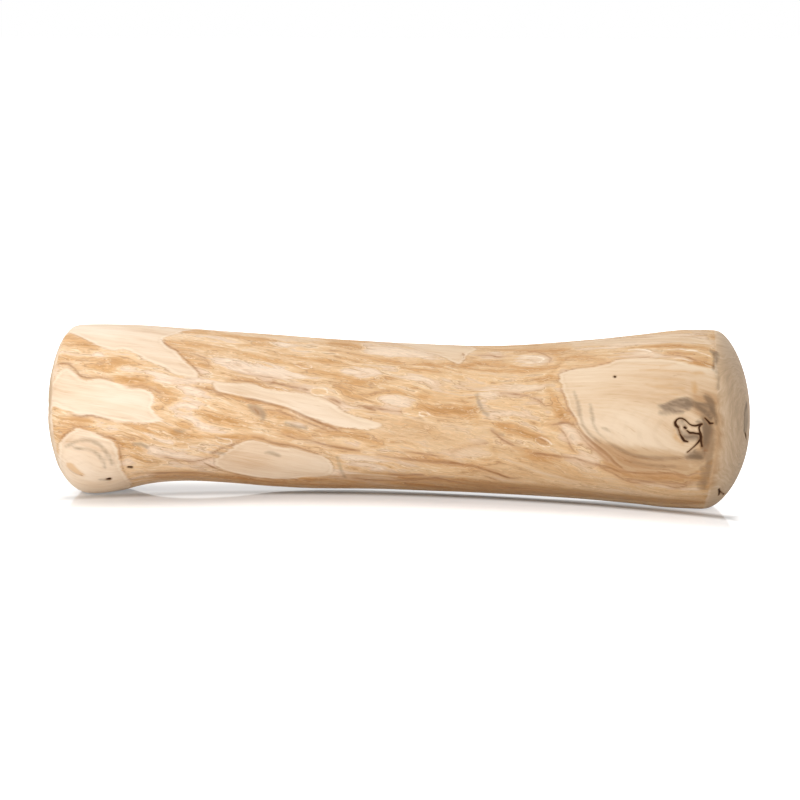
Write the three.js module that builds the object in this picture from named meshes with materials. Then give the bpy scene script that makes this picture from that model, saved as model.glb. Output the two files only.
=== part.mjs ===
// A piece of driftwood: one barkless length of branch, worn smooth, flared at both ends and waisted.
// Millimetres. +X runs along the stick, -Y is its best side and +Z is up. The origin is on the surface that
// it lies on, under the middle of its box.

import * as THREE from "three";

// Driving dimensions
const LENGTH = 200; // tip to tip
const LEFT_GIRTH = 49; // height of the blunt left end
const RIGHT_GIRTH = 49.7; // height of the domed right end
const BOW = 10; // how far the middle lies behind the line between the ends
const LIFT = 0.6; // how far the middle is clear of the surface under it
const ARCH = 3.2; // and how far the narrow stretch behind the branch stub is
const REST_WEAR = 0.7; // how far the low spots are worn flat, so that the stick lies still
const KNOT = { at: 184, turn: 3 }; // distance from the left tip, and degrees up from the front
const STUB = { at: 13, turn: -34 }; // the sawn and worn branch stub, in the same terms
const BACK_STUB = { at: 52, turn: 158 };

// The grid of facets: columns go round the stick and rows along it.
const COLUMNS = 72;
const ROWS = 74;
const LEFT_END_ROWS = 11;
const RIGHT_END_ROWS = 13;
const FRONT_CROWDING = 0.35; // share by which columns are closer at the knot and wider behind it
const RIGHT_CROWDING = 0.45; // share by which rows are closer towards the knot
const RIM_CROWDING = 0.9; // under 1 draws the rows of an end towards its rim

const deg = THREE.MathUtils.degToRad;
const mix = THREE.MathUtils.lerp;

// The outlines. Each point is [distance from the left tip, value].
const TOP = [
  [0, LEFT_GIRTH], [24, LEFT_GIRTH], [50, 46.8], [84, 44], [108, 43.1], [126, 43.2],
  [145, 44.8], [168, 47.8], [182, RIGHT_GIRTH], [LENGTH, RIGHT_GIRTH],
];
const UNDERSIDE = [
  [0, -REST_WEAR], [15, -REST_WEAR], [26, 0.75 * ARCH], [38, ARCH], [50, 0.8 * ARCH], [62, 0.4 * ARCH],
  [76, LIFT], [145, LIFT], [168, 0], [178, -REST_WEAR], [LENGTH, -REST_WEAR],
];
const FRONT = [
  [0, 23.6], [24, 23.4], [60, 22], [100, 20.8], [128, 20.8], [158, 22.8], [182, 24.6], [LENGTH, 24.6],
];
const BACK = [
  [0, 23.2], [30, 23.2], [70, 21.2], [105, 20.4], [138, 20.8], [172, 23.2], [LENGTH, 24],
];
const SPINE = [
  [0, -0.05 * BOW], [27, 0.1 * BOW], [50, 0.42 * BOW], [72, 0.77 * BOW], [95, 0.95 * BOW],
  [116, 0.8 * BOW], [145, 0.47 * BOW], [175, 0.12 * BOW], [LENGTH, 0],
];

// The ends. Each is a dome, as high as rise, whose rim is rounded over a depth along the stick that differs
// from its top to its underside. A higher square makes a tighter rim, and side adds to it front and back.
const LEFT_END = { rise: 0.8, topDepth: 6.2, lowDepth: 12.5, topSquare: 2.7, lowSquare: 2.9, side: 0.5 };
const RIGHT_END = { rise: 4.5, topDepth: 6.2, lowDepth: 9, topSquare: 2.35, lowSquare: 2.3, side: 1.1 };

// Swellings and hollows of the grown wood: along and round are the half sizes of each, in millimetres.
const SWELLINGS = {
  branchStub: { ...STUB, along: 13, round: 13, height: 1.3 },
  knotCollar: { at: KNOT.at - 8, turn: KNOT.turn + 2, along: 20, round: 16, height: 1.2 },
  knotEye: { ...KNOT, along: 5.5, round: 5, height: 0.5 },
  wearRoundKnot: { ...KNOT, along: 9, round: 8, height: -0.6 },
  hollowUnderCollar: { at: 148, turn: -28, along: 20, round: 9, height: -0.6 },
  hollowBeforeCollar: { at: 146, turn: 14, along: 8, round: 12, height: -0.35 },
  ribOverMiddle: { at: 112, turn: 40, along: 42, round: 7, height: 0.6 },
  hollowBehindWaist: { at: 118, turn: 165, along: 24, round: 13, height: -1.1 },
  hollowOnTop: { at: 36, turn: 74, along: 14, round: 8, height: -0.5 },
  backStub: { ...BACK_STUB, along: 12, round: 11, height: 1.7 },
  backStubEye: { ...BACK_STUB, along: 4, round: 4, height: -0.5 },
  backShoulder: { at: 178, turn: 140, along: 15, round: 14, height: 1.2 },
};

// Long shallow flutes, as wear leaves them: turns is how many go round, and twist how far they wind.
const FLUTES = [
  { turns: 3, twist: 150, phase: 20, height: 0.34 },
  { turns: 5, twist: -210, phase: 75, height: 0.22 },
  { turns: 8, twist: 330, phase: 130, height: 0.09 },
];

// A smooth curve through [at, value] points, as a function of the distance along the stick.
function curveThrough(points) {
  const last = points.length - 1;
  const slopes = points.map((point, i) => {
    const before = points[Math.max(i - 1, 0)];
    const after = points[Math.min(i + 1, last)];
    return (after[1] - before[1]) / (after[0] - before[0]);
  });
  return (at) => {
    const passed = points.filter((point) => point[0] <= at).length;
    const i = THREE.MathUtils.clamp(passed - 1, 0, last - 1);
    const [startAt, start] = points[i];
    const [finishAt, finish] = points[i + 1];
    const span = finishAt - startAt;
    const t = THREE.MathUtils.clamp((at - startAt) / span, 0, 1);
    const startBend = slopes[i] * span - (finish - start);
    const finishBend = finish - start - slopes[i + 1] * span;
    return mix(start, finish, t) + t * (1 - t) * mix(startBend, finishBend, t);
  };
}

const top = curveThrough(TOP);
const underside = curveThrough(UNDERSIDE);
const front = curveThrough(FRONT);
const back = curveThrough(BACK);
const spine = curveThrough(SPINE);

// Depth and squareness of an end's rim at an angle round the stick.
function rimShape(end, turn) {
  const low = (1 - Math.sin(turn)) / 2;
  return {
    depth: mix(end.topDepth, end.lowDepth, low ** 1.5),
    square: mix(end.topSquare, end.lowSquare, low) + end.side * Math.cos(turn) ** 2,
  };
}

// Where a row of an end meets the column at this angle, with share 0 at the middle of the dome and 1 where
// it ends: its distance from the tip, and its share of the full girth.
function endProfile(end, share, turn) {
  const { depth, square } = rimShape(end, turn);
  const swing = (Math.PI / 2) * share ** RIM_CROWDING;
  const girth = Math.sin(swing) ** (2 / square);
  return { inset: end.rise * girth ** 2 + depth * (1 - Math.cos(swing) ** (2 / square)), girth };
}

// The same for any row, with the distance taken from the left tip.
function rowAt(row, turn) {
  const fromRight = ROWS - row;
  if (row < LEFT_END_ROWS) {
    const { inset, girth } = endProfile(LEFT_END, row / LEFT_END_ROWS, turn);
    return { at: inset, girth };
  }
  if (fromRight < RIGHT_END_ROWS) {
    const { inset, girth } = endProfile(RIGHT_END, fromRight / RIGHT_END_ROWS, turn);
    return { at: LENGTH - inset, girth };
  }
  const start = endProfile(LEFT_END, 1, turn).inset;
  const finish = LENGTH - endProfile(RIGHT_END, 1, turn).inset;
  const t = (row - LEFT_END_ROWS) / (ROWS - LEFT_END_ROWS - RIGHT_END_ROWS);
  return { at: mix(start, finish, t * (1 + RIGHT_CROWDING - RIGHT_CROWDING * t)), girth: 1 };
}

// How far the grown wood stands out from the plain outline at a place.
function swell(at, turn, radius) {
  const lumps = Object.values(SWELLINGS).map((lump) => {
    const away = THREE.MathUtils.euclideanModulo(turn - deg(lump.turn) + Math.PI, 2 * Math.PI) - Math.PI;
    const near = ((at - lump.at) / lump.along) ** 2 + ((away * radius) / lump.round) ** 2;
    return lump.height * Math.exp(-near);
  });
  const flutes = FLUTES.map(
    (flute) => flute.height * Math.sin(flute.turns * turn + deg(flute.phase + (flute.twist * at) / LENGTH)),
  );
  return [...lumps, ...flutes].reduce((sum, height) => sum + height, 0);
}

// The point of the wood's surface on a row, at an angle up from the front.
function surfacePoint(row, turn) {
  const { at, girth } = rowAt(row, turn);
  const halfHeight = (top(at) - underside(at)) / 2;
  const halfWidth = Math.cos(turn) > 0 ? front(at) : back(at);
  const swollen = swell(at, turn, halfHeight);
  const out = -Math.cos(turn) * (halfWidth + swollen) * girth;
  const up = Math.sin(turn) * (halfHeight + swollen) * girth;
  const middle = (top(at) + underside(at)) / 2;
  return new THREE.Vector3(at, spine(at) + out, Math.max(middle + up, 0));
}

// The wood is a sphere's grid of points, each moved to its place on the stick.
function driftwoodGeometry() {
  const geometry = new THREE.SphereGeometry(1, COLUMNS, ROWS);
  const points = geometry.getAttribute("position");
  const grid = geometry.getAttribute("uv");
  for (let i = 0; i < points.count; i += 1) {
    const round = 2 * Math.PI * (grid.getX(i) % 1);
    const turn = round - FRONT_CROWDING * Math.sin(round) + deg(KNOT.turn);
    const row = Math.round((1 - grid.getY(i)) * ROWS);
    const point = surfacePoint(row, turn);
    points.setXYZ(i, point.x, point.y, point.z);
  }
  geometry.computeVertexNormals();
  geometry.computeBoundingBox();
  const centre = geometry.boundingBox.getCenter(new THREE.Vector3());
  return geometry.translate(-centre.x, -centre.y, 0);
}

const paleWood = new THREE.MeshStandardMaterial({ color: "#dcb98a", roughness: 0.62, metalness: 0 });

const driftwood = new THREE.Mesh(driftwoodGeometry(), paleWood);
driftwood.name = "driftwood";

const model = new THREE.Group();
model.add(driftwood);

export default model;
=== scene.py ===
"""A piece of driftwood, dressed for its picture.

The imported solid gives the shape. A fine skin of wood is laid over it and carries the figure of the wood:
patches of bare cream wood, the streaked outer layer between them, the knot with its cracks, the branch
stub and the end grain. Lengths on the stick are millimetres: "at" is the distance from its left tip, and
"turn" is the angle in degrees up from its front.
"""

import logging
import math
from collections.abc import Iterable, Sequence
from dataclasses import dataclass, field
from enum import Enum

import bmesh
import bpy
import numpy as np
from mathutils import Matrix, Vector, noise
from mathutils.bvhtree import BVHTree


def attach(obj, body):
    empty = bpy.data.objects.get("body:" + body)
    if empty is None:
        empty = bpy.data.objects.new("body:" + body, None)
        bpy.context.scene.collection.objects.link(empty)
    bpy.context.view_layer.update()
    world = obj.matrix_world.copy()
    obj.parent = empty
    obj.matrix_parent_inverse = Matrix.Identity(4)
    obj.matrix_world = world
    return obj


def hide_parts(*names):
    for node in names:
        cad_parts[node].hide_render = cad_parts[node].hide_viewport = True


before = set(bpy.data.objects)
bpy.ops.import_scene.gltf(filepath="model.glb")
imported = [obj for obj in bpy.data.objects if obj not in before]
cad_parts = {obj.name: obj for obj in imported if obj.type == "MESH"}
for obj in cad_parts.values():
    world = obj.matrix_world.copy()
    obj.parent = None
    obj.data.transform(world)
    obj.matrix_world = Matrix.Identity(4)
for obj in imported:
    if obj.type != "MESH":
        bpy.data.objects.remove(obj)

LOG = logging.getLogger("driftwood")
NODE = "driftwood"
BODY = "root"
MM = 0.001
LENGTH = 200.0
GIRTH_RADIUS = 23.0  # the radius at which angles round the stick are unrolled into millimetres
FAR = 8.0  # distances to a mark are cut off here
GRAIN_DROP = 0.16  # how far the grain drops for each millimetre to the right


class Layer(Enum):
    """What a mark is made of, or for PAINTED_SHADE, the shade painted on the wood. Each value names an
    attribute of the skin: the distance to such marks.
    """

    CREAM = "cream"
    WASH = "wash"
    PALE = "pale"
    OCHRE = "ochre"
    BROWN = "brown"
    LIGHT = "light"
    STAIN = "stain"
    SHADE = "shade"
    # painted shade: darkens the wood where it turns away from the light
    PAINTED_SHADE = "dusk"
    CRACK = "crack"
    PIT = "pit"


Points = Sequence[tuple[float, float]]
Path = Sequence[tuple[float, float, float]]
Outlines = dict[Layer, dict[str, Points]]
Paths = dict[Layer, dict[str, Sequence[Path]]]


@dataclass(frozen=True)
class Patch:
    """An area with a closed outline.

    Attributes:
        name: What it is.
        layer: What it is made of.
        seen: Its outline's points as pixels of the photograph.
        hidden: The points that close the outline out of sight, as (at, turn).
    """

    name: str
    layer: Layer
    seen: Points = ()
    hidden: Points = ()


@dataclass(frozen=True)
class Streak:
    """A line whose width changes along it.

    Attributes:
        name: What it is.
        layer: What it is made of.
        seen: Its points as (x, y, half width), in pixels of the photograph.
        hidden: Its points as (at, turn, half width), for one that is out of sight.
    """

    name: str
    layer: Layer
    seen: Path = ()
    hidden: Path = ()


@dataclass(frozen=True)
class Eye:
    """A small island: an ochre heart in a pale rim, drawn out along the grain.

    Attributes:
        name: What it is.
        x: Pixel column of its middle.
        y: Pixel row of its middle.
        half_length: Half its length, in pixels.
        half_height: Half its height, in pixels.
        slope: How far it drops for each pixel to the right.
    """

    name: str
    x: float
    y: float
    half_length: float
    half_height: float
    slope: float
    heart_length, heart_height = 0.5, 0.3  # the heart's shares of the island
    rim, rim_change, rim_parts = 0.65, 0.45, 10  # greatest half width, the share that comes and goes, sides
    skew_along, skew_across = 0.1, 0.12  # shares by which the rim strays

    def streaks(self) -> list[Streak]:
        """Draws the island.

        Returns:
            Its heart and its rim.
        """
        reach, half = self.half_length * self.heart_length, self.half_height * self.heart_height
        heart = [(self.x + way * reach, self.y + way * reach * self.slope, half) for way in (-1, 0, 1)]
        rim = []
        for part in range(self.rim_parts + 1):
            angle = 2 * math.pi * part / self.rim_parts
            along = self.half_length * math.cos(angle)
            lean = math.sin(2 * angle + self.x)
            x = self.x + along * (1 + self.skew_along * lean)
            rise = self.half_height * (1 - self.skew_across * lean) * math.sin(angle)
            half = self.rim * (1 - self.rim_change + self.rim_change * math.sin(angle + self.y))
            rim.append((x, self.y + along * self.slope + rise, half))
        return [
            Streak(f"heart of {self.name}", Layer.OCHRE, heart),
            Streak(f"rim of {self.name}", Layer.LIGHT, rim),
        ]


# The outlines of patches, as pixels of the photograph.
SEEN_OUTLINES: Outlines = {layer: {} for layer in Layer}
SEEN_OUTLINES[Layer.CREAM] = {
    "wedge over the left end": (
        (66, 333), (75, 334), (85, 339), (95, 345), (105, 348), (113, 351), (120, 349), (128, 350),
        (137, 355), (146, 361), (156, 364), (164, 367), (171, 372), (180, 377), (200, 379), (197, 371),
        (190, 365), (182, 357), (177, 351), (171, 348), (165, 343), (162, 338), (172, 335), (183, 331),
        (192, 327),
    ),
    "block at the left end": (
        (55, 377), (60, 370), (66, 367), (72, 370), (78, 376), (84, 380), (95, 379), (107, 380), (115, 383),
        (122, 386), (130, 388), (140, 387), (147, 389), (153, 393), (155, 400), (151, 405), (153, 412),
        (160, 417), (166, 421), (155, 422), (145, 424), (135, 423), (122, 423), (110, 420), (100, 418),
        (92, 415), (82, 417), (75, 415), (68, 411), (60, 408), (54, 403),
    ),
    "branch stub": (
        (58, 442), (64, 437), (70, 431), (78, 427), (86, 430), (95, 433), (104, 437), (113, 440),
        (117, 446), (119, 455), (120, 464), (123, 471), (128, 478),
    ),
    "lens under the streak": (
        (213, 461), (220, 455), (227, 450), (234, 447), (243, 441), (252, 439), (262, 441), (272, 445),
        (284, 447), (294, 447), (302, 450), (310, 453), (320, 455), (328, 459), (334, 466), (332, 474),
        (322, 477), (306, 477), (290, 480), (272, 479), (256, 477), (240, 474), (228, 471), (219, 468),
    ),
    "long streak": (
        (213, 381), (225, 383), (240, 383), (254, 384), (268, 388), (285, 390), (300, 391), (310, 395),
        (320, 398), (330, 402), (338, 408), (347, 413), (358, 418), (372, 421), (385, 425), (374, 429),
        (358, 429), (342, 428), (330, 425), (320, 421), (310, 418), (300, 413), (290, 409), (278, 405),
        (262, 401), (250, 398), (236, 396), (224, 394), (214, 390),
    ),
    "knot collar": (
        (560, 373), (568, 370), (577, 368), (590, 367), (600, 365), (609, 363), (616, 359), (630, 358),
        (645, 358), (660, 359), (676, 360), (690, 364), (704, 366), (720, 370), (727, 400), (728, 430),
        (722, 452), (710, 462), (700, 470), (690, 474), (679, 474), (668, 472), (655, 473), (642, 472),
        (630, 471), (620, 467), (613, 461), (607, 454), (598, 448), (590, 441), (583, 434), (578, 427),
        (574, 417), (568, 408), (565, 398), (562, 389), (560, 381),
    ),
    "fan over the middle": (
        (412, 348), (424, 352), (436, 354), (445, 358), (452, 362), (460, 365), (465, 359), (468, 353),
        (478, 349), (470, 346), (440, 345),
    ),
    "band along the top right": (
        (590, 343), (606, 340), (625, 338), (650, 337), (672, 336), (692, 337), (708, 341), (714, 345),
        (700, 344), (680, 342), (650, 342), (620, 342), (604, 344),
    ),
}
SEEN_OUTLINES[Layer.WASH] = {
    "plain stretch in the middle": (
        (374, 418), (400, 418), (430, 419), (458, 421), (480, 424), (490, 429), (492, 437), (498, 445),
        (512, 450), (528, 453), (514, 458), (494, 459), (470, 457), (446, 454), (424, 448), (402, 443),
        (384, 437), (370, 430),
    ),
    "plain stretch under the collar": (
        (470, 474), (492, 463), (520, 461), (548, 461), (572, 464), (592, 469), (612, 476), (630, 486),
        (660, 490), (700, 492), (712, 492), (700, 503), (660, 502),
    ),
    "pale edge on top": (
        (390, 345), (420, 351), (450, 356), (480, 352), (500, 350), (520, 350), (545, 349), (580, 347),
        (620, 345), (600, 341), (540, 345), (480, 347), (430, 345),
    ),
    "pale edge behind the wedge": (
        (214, 332), (240, 334), (270, 337), (300, 341), (330, 343), (300, 338), (250, 333),
    ),
}
SEEN_OUTLINES[Layer.PALE] = {
    "oval on top": (
        (522, 354), (534, 352), (544, 355), (551, 358), (547, 363), (537, 366), (524, 366), (514, 361),
    ),
    "island before the collar": (
        (482, 394), (491, 392), (500, 394), (507, 398), (505, 405), (498, 410), (489, 410), (483, 405),
    ),
    "pale stretch along the top right": ((570, 351), (600, 348), (640, 345), (680, 344), (704, 345)),
    "pale stretch along the top middle": ((356, 351), (390, 356), (430, 359), (470, 357)),
    "mottle beside the wedge": (
        (115, 368), (124, 366), (134, 367), (145, 370), (156, 374), (166, 380), (170, 384), (160, 383),
        (148, 380), (138, 376), (127, 375), (117, 372),
    ),
    "grey over the long streak": (
        (214, 356), (228, 358), (244, 360), (262, 363), (276, 367), (290, 371), (303, 376), (300, 380),
        (284, 378), (266, 374), (250, 373), (236, 371), (224, 367), (215, 362),
    ),
    "spot on the shoulder": ((95, 352), (101, 350), (105, 354), (102, 358), (96, 357)),
    "grey above the stub": ((92, 423), (100, 421), (110, 424), (119, 429), (112, 432), (101, 429)),
    "grey right of the stub": (
        (145, 429), (156, 431), (168, 435), (176, 440), (170, 446), (160, 443), (150, 437),
    ),
    "ridge over the lens": (
        (164, 408), (176, 401), (190, 400), (205, 404), (195, 411), (197, 419), (206, 427), (222, 431),
        (236, 432), (222, 434), (204, 433), (192, 427), (186, 418), (174, 414),
    ),
    "grey at the middle": (
        (378, 397), (392, 394), (410, 395), (420, 399), (414, 405), (398, 407), (384, 403),
    ),
    "grey over the middle": (
        (340, 369), (356, 367), (372, 369), (382, 374), (374, 380), (356, 380), (344, 376),
    ),
    "patch before the collar": (
        (479, 393), (494, 391), (512, 393), (527, 395), (538, 399), (546, 405), (551, 413), (549, 420),
        (536, 423), (520, 421), (504, 418), (490, 415), (481, 409), (478, 401),
    ),
    "wedge at the collar": (
        (561, 425), (570, 425), (576, 429), (579, 437), (574, 442), (569, 437), (563, 431),
    ),
    "grey under the collar": ((572, 452), (584, 449), (598, 455), (603, 460), (590, 461), (578, 458)),
    "grey beside the long lens": ((286, 421), (300, 424), (312, 430), (306, 431), (292, 427)),
    "grey above the underside": (
        (340, 455), (356, 457), (374, 461), (392, 466), (380, 470), (360, 466), (345, 461),
    ),
    "grey near the top": ((270, 341), (282, 340), (290, 344), (284, 348), (274, 347)),
}
# Painted shade: these patches darken the wood right of the knot, where it curves away, under the collar and
# along the underside.
SEEN_OUTLINES[Layer.PAINTED_SHADE] = {
    "dusk right of the knot": (
        (690, 397), (700, 392), (712, 392), (722, 400), (724, 430), (720, 470), (712, 492), (700, 492),
        (694, 480), (688, 470), (686, 458), (694, 450), (700, 441), (702, 430), (701, 420), (692, 412),
    ),
    "dusk under the collar": (
        (590, 436), (604, 440), (620, 444), (644, 449), (668, 452), (690, 456), (700, 480), (690, 486),
        (664, 484), (636, 483), (618, 477), (600, 462),
    ),
    "dusk along the underside": (
        (150, 473), (180, 470), (215, 472), (246, 476), (262, 480), (280, 479), (300, 479), (340, 474),
        (380, 471), (420, 473), (460, 478), (510, 482), (560, 487), (610, 493), (660, 498), (704, 500),
    ),
}

# The points, as (at, turn), that close an outline out of sight or make up a whole one there.
HIDDEN_OUTLINES: Outlines = {layer: {} for layer in Layer}
HIDDEN_OUTLINES[Layer.CREAM] = {
    "wedge over the left end": ((41, 96), (33, 112), (20, 118), (8, 121), (1, 112), (0, 80)),
    "block at the left end": ((0.5, -8), (0.5, 10)),
    "branch stub": ((24, -66), (20, -84), (9, -84), (2, -66)),
    "fan over the middle": ((107, 100), (94, 106)),
    "block over the back of the left end": (
        (2, 150), (14, 146), (30, 150), (44, 147), (58, 141), (50, 158), (36, 166), (18, 170), (3, 172),
    ),
    "lens behind the waist": (
        (78, 168), (90, 160), (108, 153), (126, 146), (140, 143), (132, 154), (116, 165), (98, 174),
        (84, 178),
    ),
    "patch behind the right end": (
        (150, 128), (164, 120), (180, 118), (197, 122), (198, 150), (186, 158), (170, 154), (157, 143),
    ),
    "low streak on the back": (
        (112, 214), (128, 205), (148, 196), (170, 190), (190, 188), (198, 196), (184, 208), (160, 214),
        (136, 220), (118, 222),
    ),
    "patch under the left end": (
        (2, 206), (14, 200), (34, 196), (56, 190), (70, 192), (58, 206), (38, 216), (16, 222), (3, 224),
    ),
    "streak on the underside": (
        (62, 262), (80, 254), (104, 246), (126, 244), (116, 254), (92, 264), (72, 270),
    ),
    "patch under the right end": (
        (148, 262), (164, 252), (184, 246), (196, 250), (194, 266), (176, 272), (158, 272),
    ),
    "stub on the back": (
        (39, 166), (43, 176), (52, 182), (61, 177), (66, 164), (64, 148), (55, 140), (46, 143), (40, 153),
    ),
}
HIDDEN_OUTLINES[Layer.WASH] = {
    "plain stretch under the collar": ((178, -74), (158, -76), (134, -72), (118, -60)),
    "pale edge on top": ((150, 98), (120, 104), (96, 102)),
    "pale edge behind the wedge": ((84, 92), (66, 100), (50, 98)),
    "back of the right end": (
        (140, 104), (168, 100), (196, 104), (197, 172), (176, 178), (150, 168), (138, 140),
    ),
    "plain stretch on the back": (
        (60, 232), (90, 222), (124, 224), (150, 232), (168, 244), (140, 250), (104, 244), (74, 244),
    ),
}
HIDDEN_OUTLINES[Layer.PALE] = {
    "pale stretch along the top right": ((190, 104), (150, 104)),
    "pale stretch along the top middle": ((122, 104), (90, 104)),
}
# Painted shade along the underside, closed out of sight.
HIDDEN_OUTLINES[Layer.PAINTED_SHADE] = {
    "dusk along the underside": ((190, -62), (150, -68), (100, -70), (66, -70), (30, -66)),
}

# The paths of streaks, as (x, y, half width) in pixels of the photograph.
SEEN_PATHS: Paths = {layer: {} for layer in Layer}
SEEN_PATHS[Layer.OCHRE] = {
    "left end": (
        ((62, 357, 2), (78, 357, 2.4), (94, 358, 1.6), (104, 359, 1)),
        ((80, 345, 2), (92, 346, 2.4), (99, 348, 1.4)),
        ((110, 360, 3), (119, 361, 5.5), (128, 362, 4), (138, 365, 1.6)),
        ((117, 377, 1.4), (124, 379, 2.2), (131, 381, 1.2)),
        ((62, 421, 2), (76, 421, 3), (92, 421, 1.8)),
        ((122, 444, 2.4), (132, 447, 3), (142, 450, 2.2)),
        ((70, 466, 4.2), (75, 471, 3.2), (82, 475, 1.8)),
    ),
    "waist": (
        ((137, 372, 2), (144, 374, 2.2), (151, 377, 1.2)),
        ((157, 407, 2), (166, 404, 3), (175, 400, 2)),
        ((160, 390, 2), (170, 393, 3.4), (180, 395, 2.6)),
        ((170, 341, 2.4), (186, 343, 3.4), (206, 346, 4), (226, 349, 3), (238, 351, 1.6)),
        ((194, 330, 1.2), (200, 331, 2), (206, 333, 1)),
        ((200, 363, 1.4), (206, 366, 2), (212, 369, 1)),
        ((240, 346, 1.4), (256, 344, 2.2), (272, 346, 1.6), (286, 350, 1.2)),
        ((236, 352, 1), (256, 356, 1.8), (276, 361, 2.4), (296, 366, 2.4), (316, 371, 2), (336, 375, 2.4),
         (352, 377, 1)),
        ((196, 414, 1.6), (208, 416, 3.4), (222, 420, 4.6), (236, 424, 3.8), (248, 428, 2)),
        ((180, 423, 2), (192, 425, 2.4), (172, 433, 2), (192, 436, 3), (214, 436, 2)),
        ((204, 434, 1.4), (224, 437, 1.8), (244, 436, 1.6), (262, 438, 1.4)),
        ((280, 419, 2), (289, 419, 2.4), (294, 420, 1.4)),
        ((284, 431, 1), (292, 433, 2.2), (302, 434, 2.6), (310, 436, 1.2)),
    ),
    "middle": (
        ((300, 348, 1.4), (322, 350, 2.6), (346, 353, 3.2), (372, 358, 3), (396, 362, 2.4)),
        ((332, 343, 1.4), (350, 345, 2.4), (366, 347, 1.4)),
        ((328, 446, 1.2), (342, 448, 2), (356, 450, 1.6), (372, 447, 2.4), (382, 444, 1.4)),
        ((344, 394, 1.2), (362, 397, 2.2), (380, 393, 2), (398, 392, 1.4), (418, 396, 1), (440, 399, 2),
         (462, 402, 2.4), (474, 406, 1.2)),
        ((404, 411, 1), (420, 409, 1.6), (438, 410, 1.8), (456, 411, 1.4), (470, 414, 1.8),
         (478, 416, 0.8)),
        ((396, 358, 1.4), (412, 356, 1.8), (430, 363, 1.2)),
        ((456, 404, 1.4), (468, 407, 2.4), (476, 412, 2)),
    ),
    "stretch before the collar": (
        ((462, 367, 1.2), (474, 364, 2.2), (490, 363, 2.8), (506, 365, 2.2), (520, 369, 2), (540, 370, 2.2),
         (556, 366, 1.4)),
        ((548, 388, 1.6), (553, 397, 2.6), (558, 406, 4.2), (561, 414, 4.6), (566, 420, 3.2),
         (572, 425, 1.8)),
        ((540, 383, 1), (548, 378, 1.4), (556, 368, 2.2), (562, 360, 2), (556, 355, 1)),
        ((562, 359, 1.4), (574, 357, 2.6), (590, 358, 2.4), (604, 359, 1.2)),
        ((516, 409, 1.2), (526, 410, 2), (536, 413, 2.4), (545, 417, 1.6)),
        ((504, 416, 1), (520, 418, 2.4), (536, 422, 2.8), (550, 425, 2)),
        ((552, 438, 1.6), (560, 444, 2.8), (572, 450, 2.4), (584, 456, 1.6)),
        ((500, 426, 2), (514, 426, 3.2), (530, 430, 2.6), (544, 430, 2), (556, 434, 2.2)),
        ((575, 444, 2), (582, 448, 2.4), (590, 452, 2)),
        ((490, 440, 1), (493, 448, 1.6), (495, 454, 1.2)),
        ((534, 455, 1), (544, 456, 2), (558, 457, 1.6)),
        ((490, 404, 2.5), (515, 408, 5), (540, 416, 6), (556, 430, 5)),
        ((498, 426, 2.5), (524, 432, 5), (548, 440, 4)),
    ),
    "collar": (
        ((624, 475, 0.6), (636, 477, 0.9), (652, 478, 1.4), (668, 478, 1.8), (682, 480, 1.8)),
        ((628, 363, 0.1), (642, 364, 0.4), (656, 365, 0.5), (668, 364, 0.2)),
        ((640, 370, 0.1), (654, 370, 0.4), (670, 371, 0.7), (684, 371, 0.4), (692, 373, 0.2)),
        ((634, 376, 0.1), (648, 377, 0.3), (662, 379, 0.6), (676, 379, 0.5), (686, 380, 0.2)),
        ((646, 384, 0.1), (660, 388, 0.5), (672, 388, 0.6), (684, 388, 0.3)),
        ((652, 394, 0.1), (664, 395, 0.4), (676, 394, 0.4), (686, 393, 0.2)),
        ((660, 366, 0.5), (668, 365, 1), (676, 363, 0.6)),
        ((656, 386, 0.6), (664, 386, 1), (672, 384, 0.6)),
        ((674, 430, 1.6), (675, 435, 2.4), (678, 440, 1.8), (683, 444, 1)),
        ((668, 352, 1.6), (680, 352, 2.4), (694, 355, 3), (706, 358, 2)),
        ((618, 346, 1), (640, 346, 2), (664, 346, 2), (688, 345, 1.8), (706, 348, 1)),
        ((640, 333, 0.5), (664, 332, 0.9), (690, 332, 0.5)),
    ),
    "right end": (
        ((693.5, 383, 2), (695, 388, 3), (694.5, 392, 1.8)),
        ((694, 373, 1.6), (699, 372, 2), (704, 374, 1)),
        ((690, 363, 1), (700, 365, 1.6), (710, 367, 1)),
    ),
}
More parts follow.
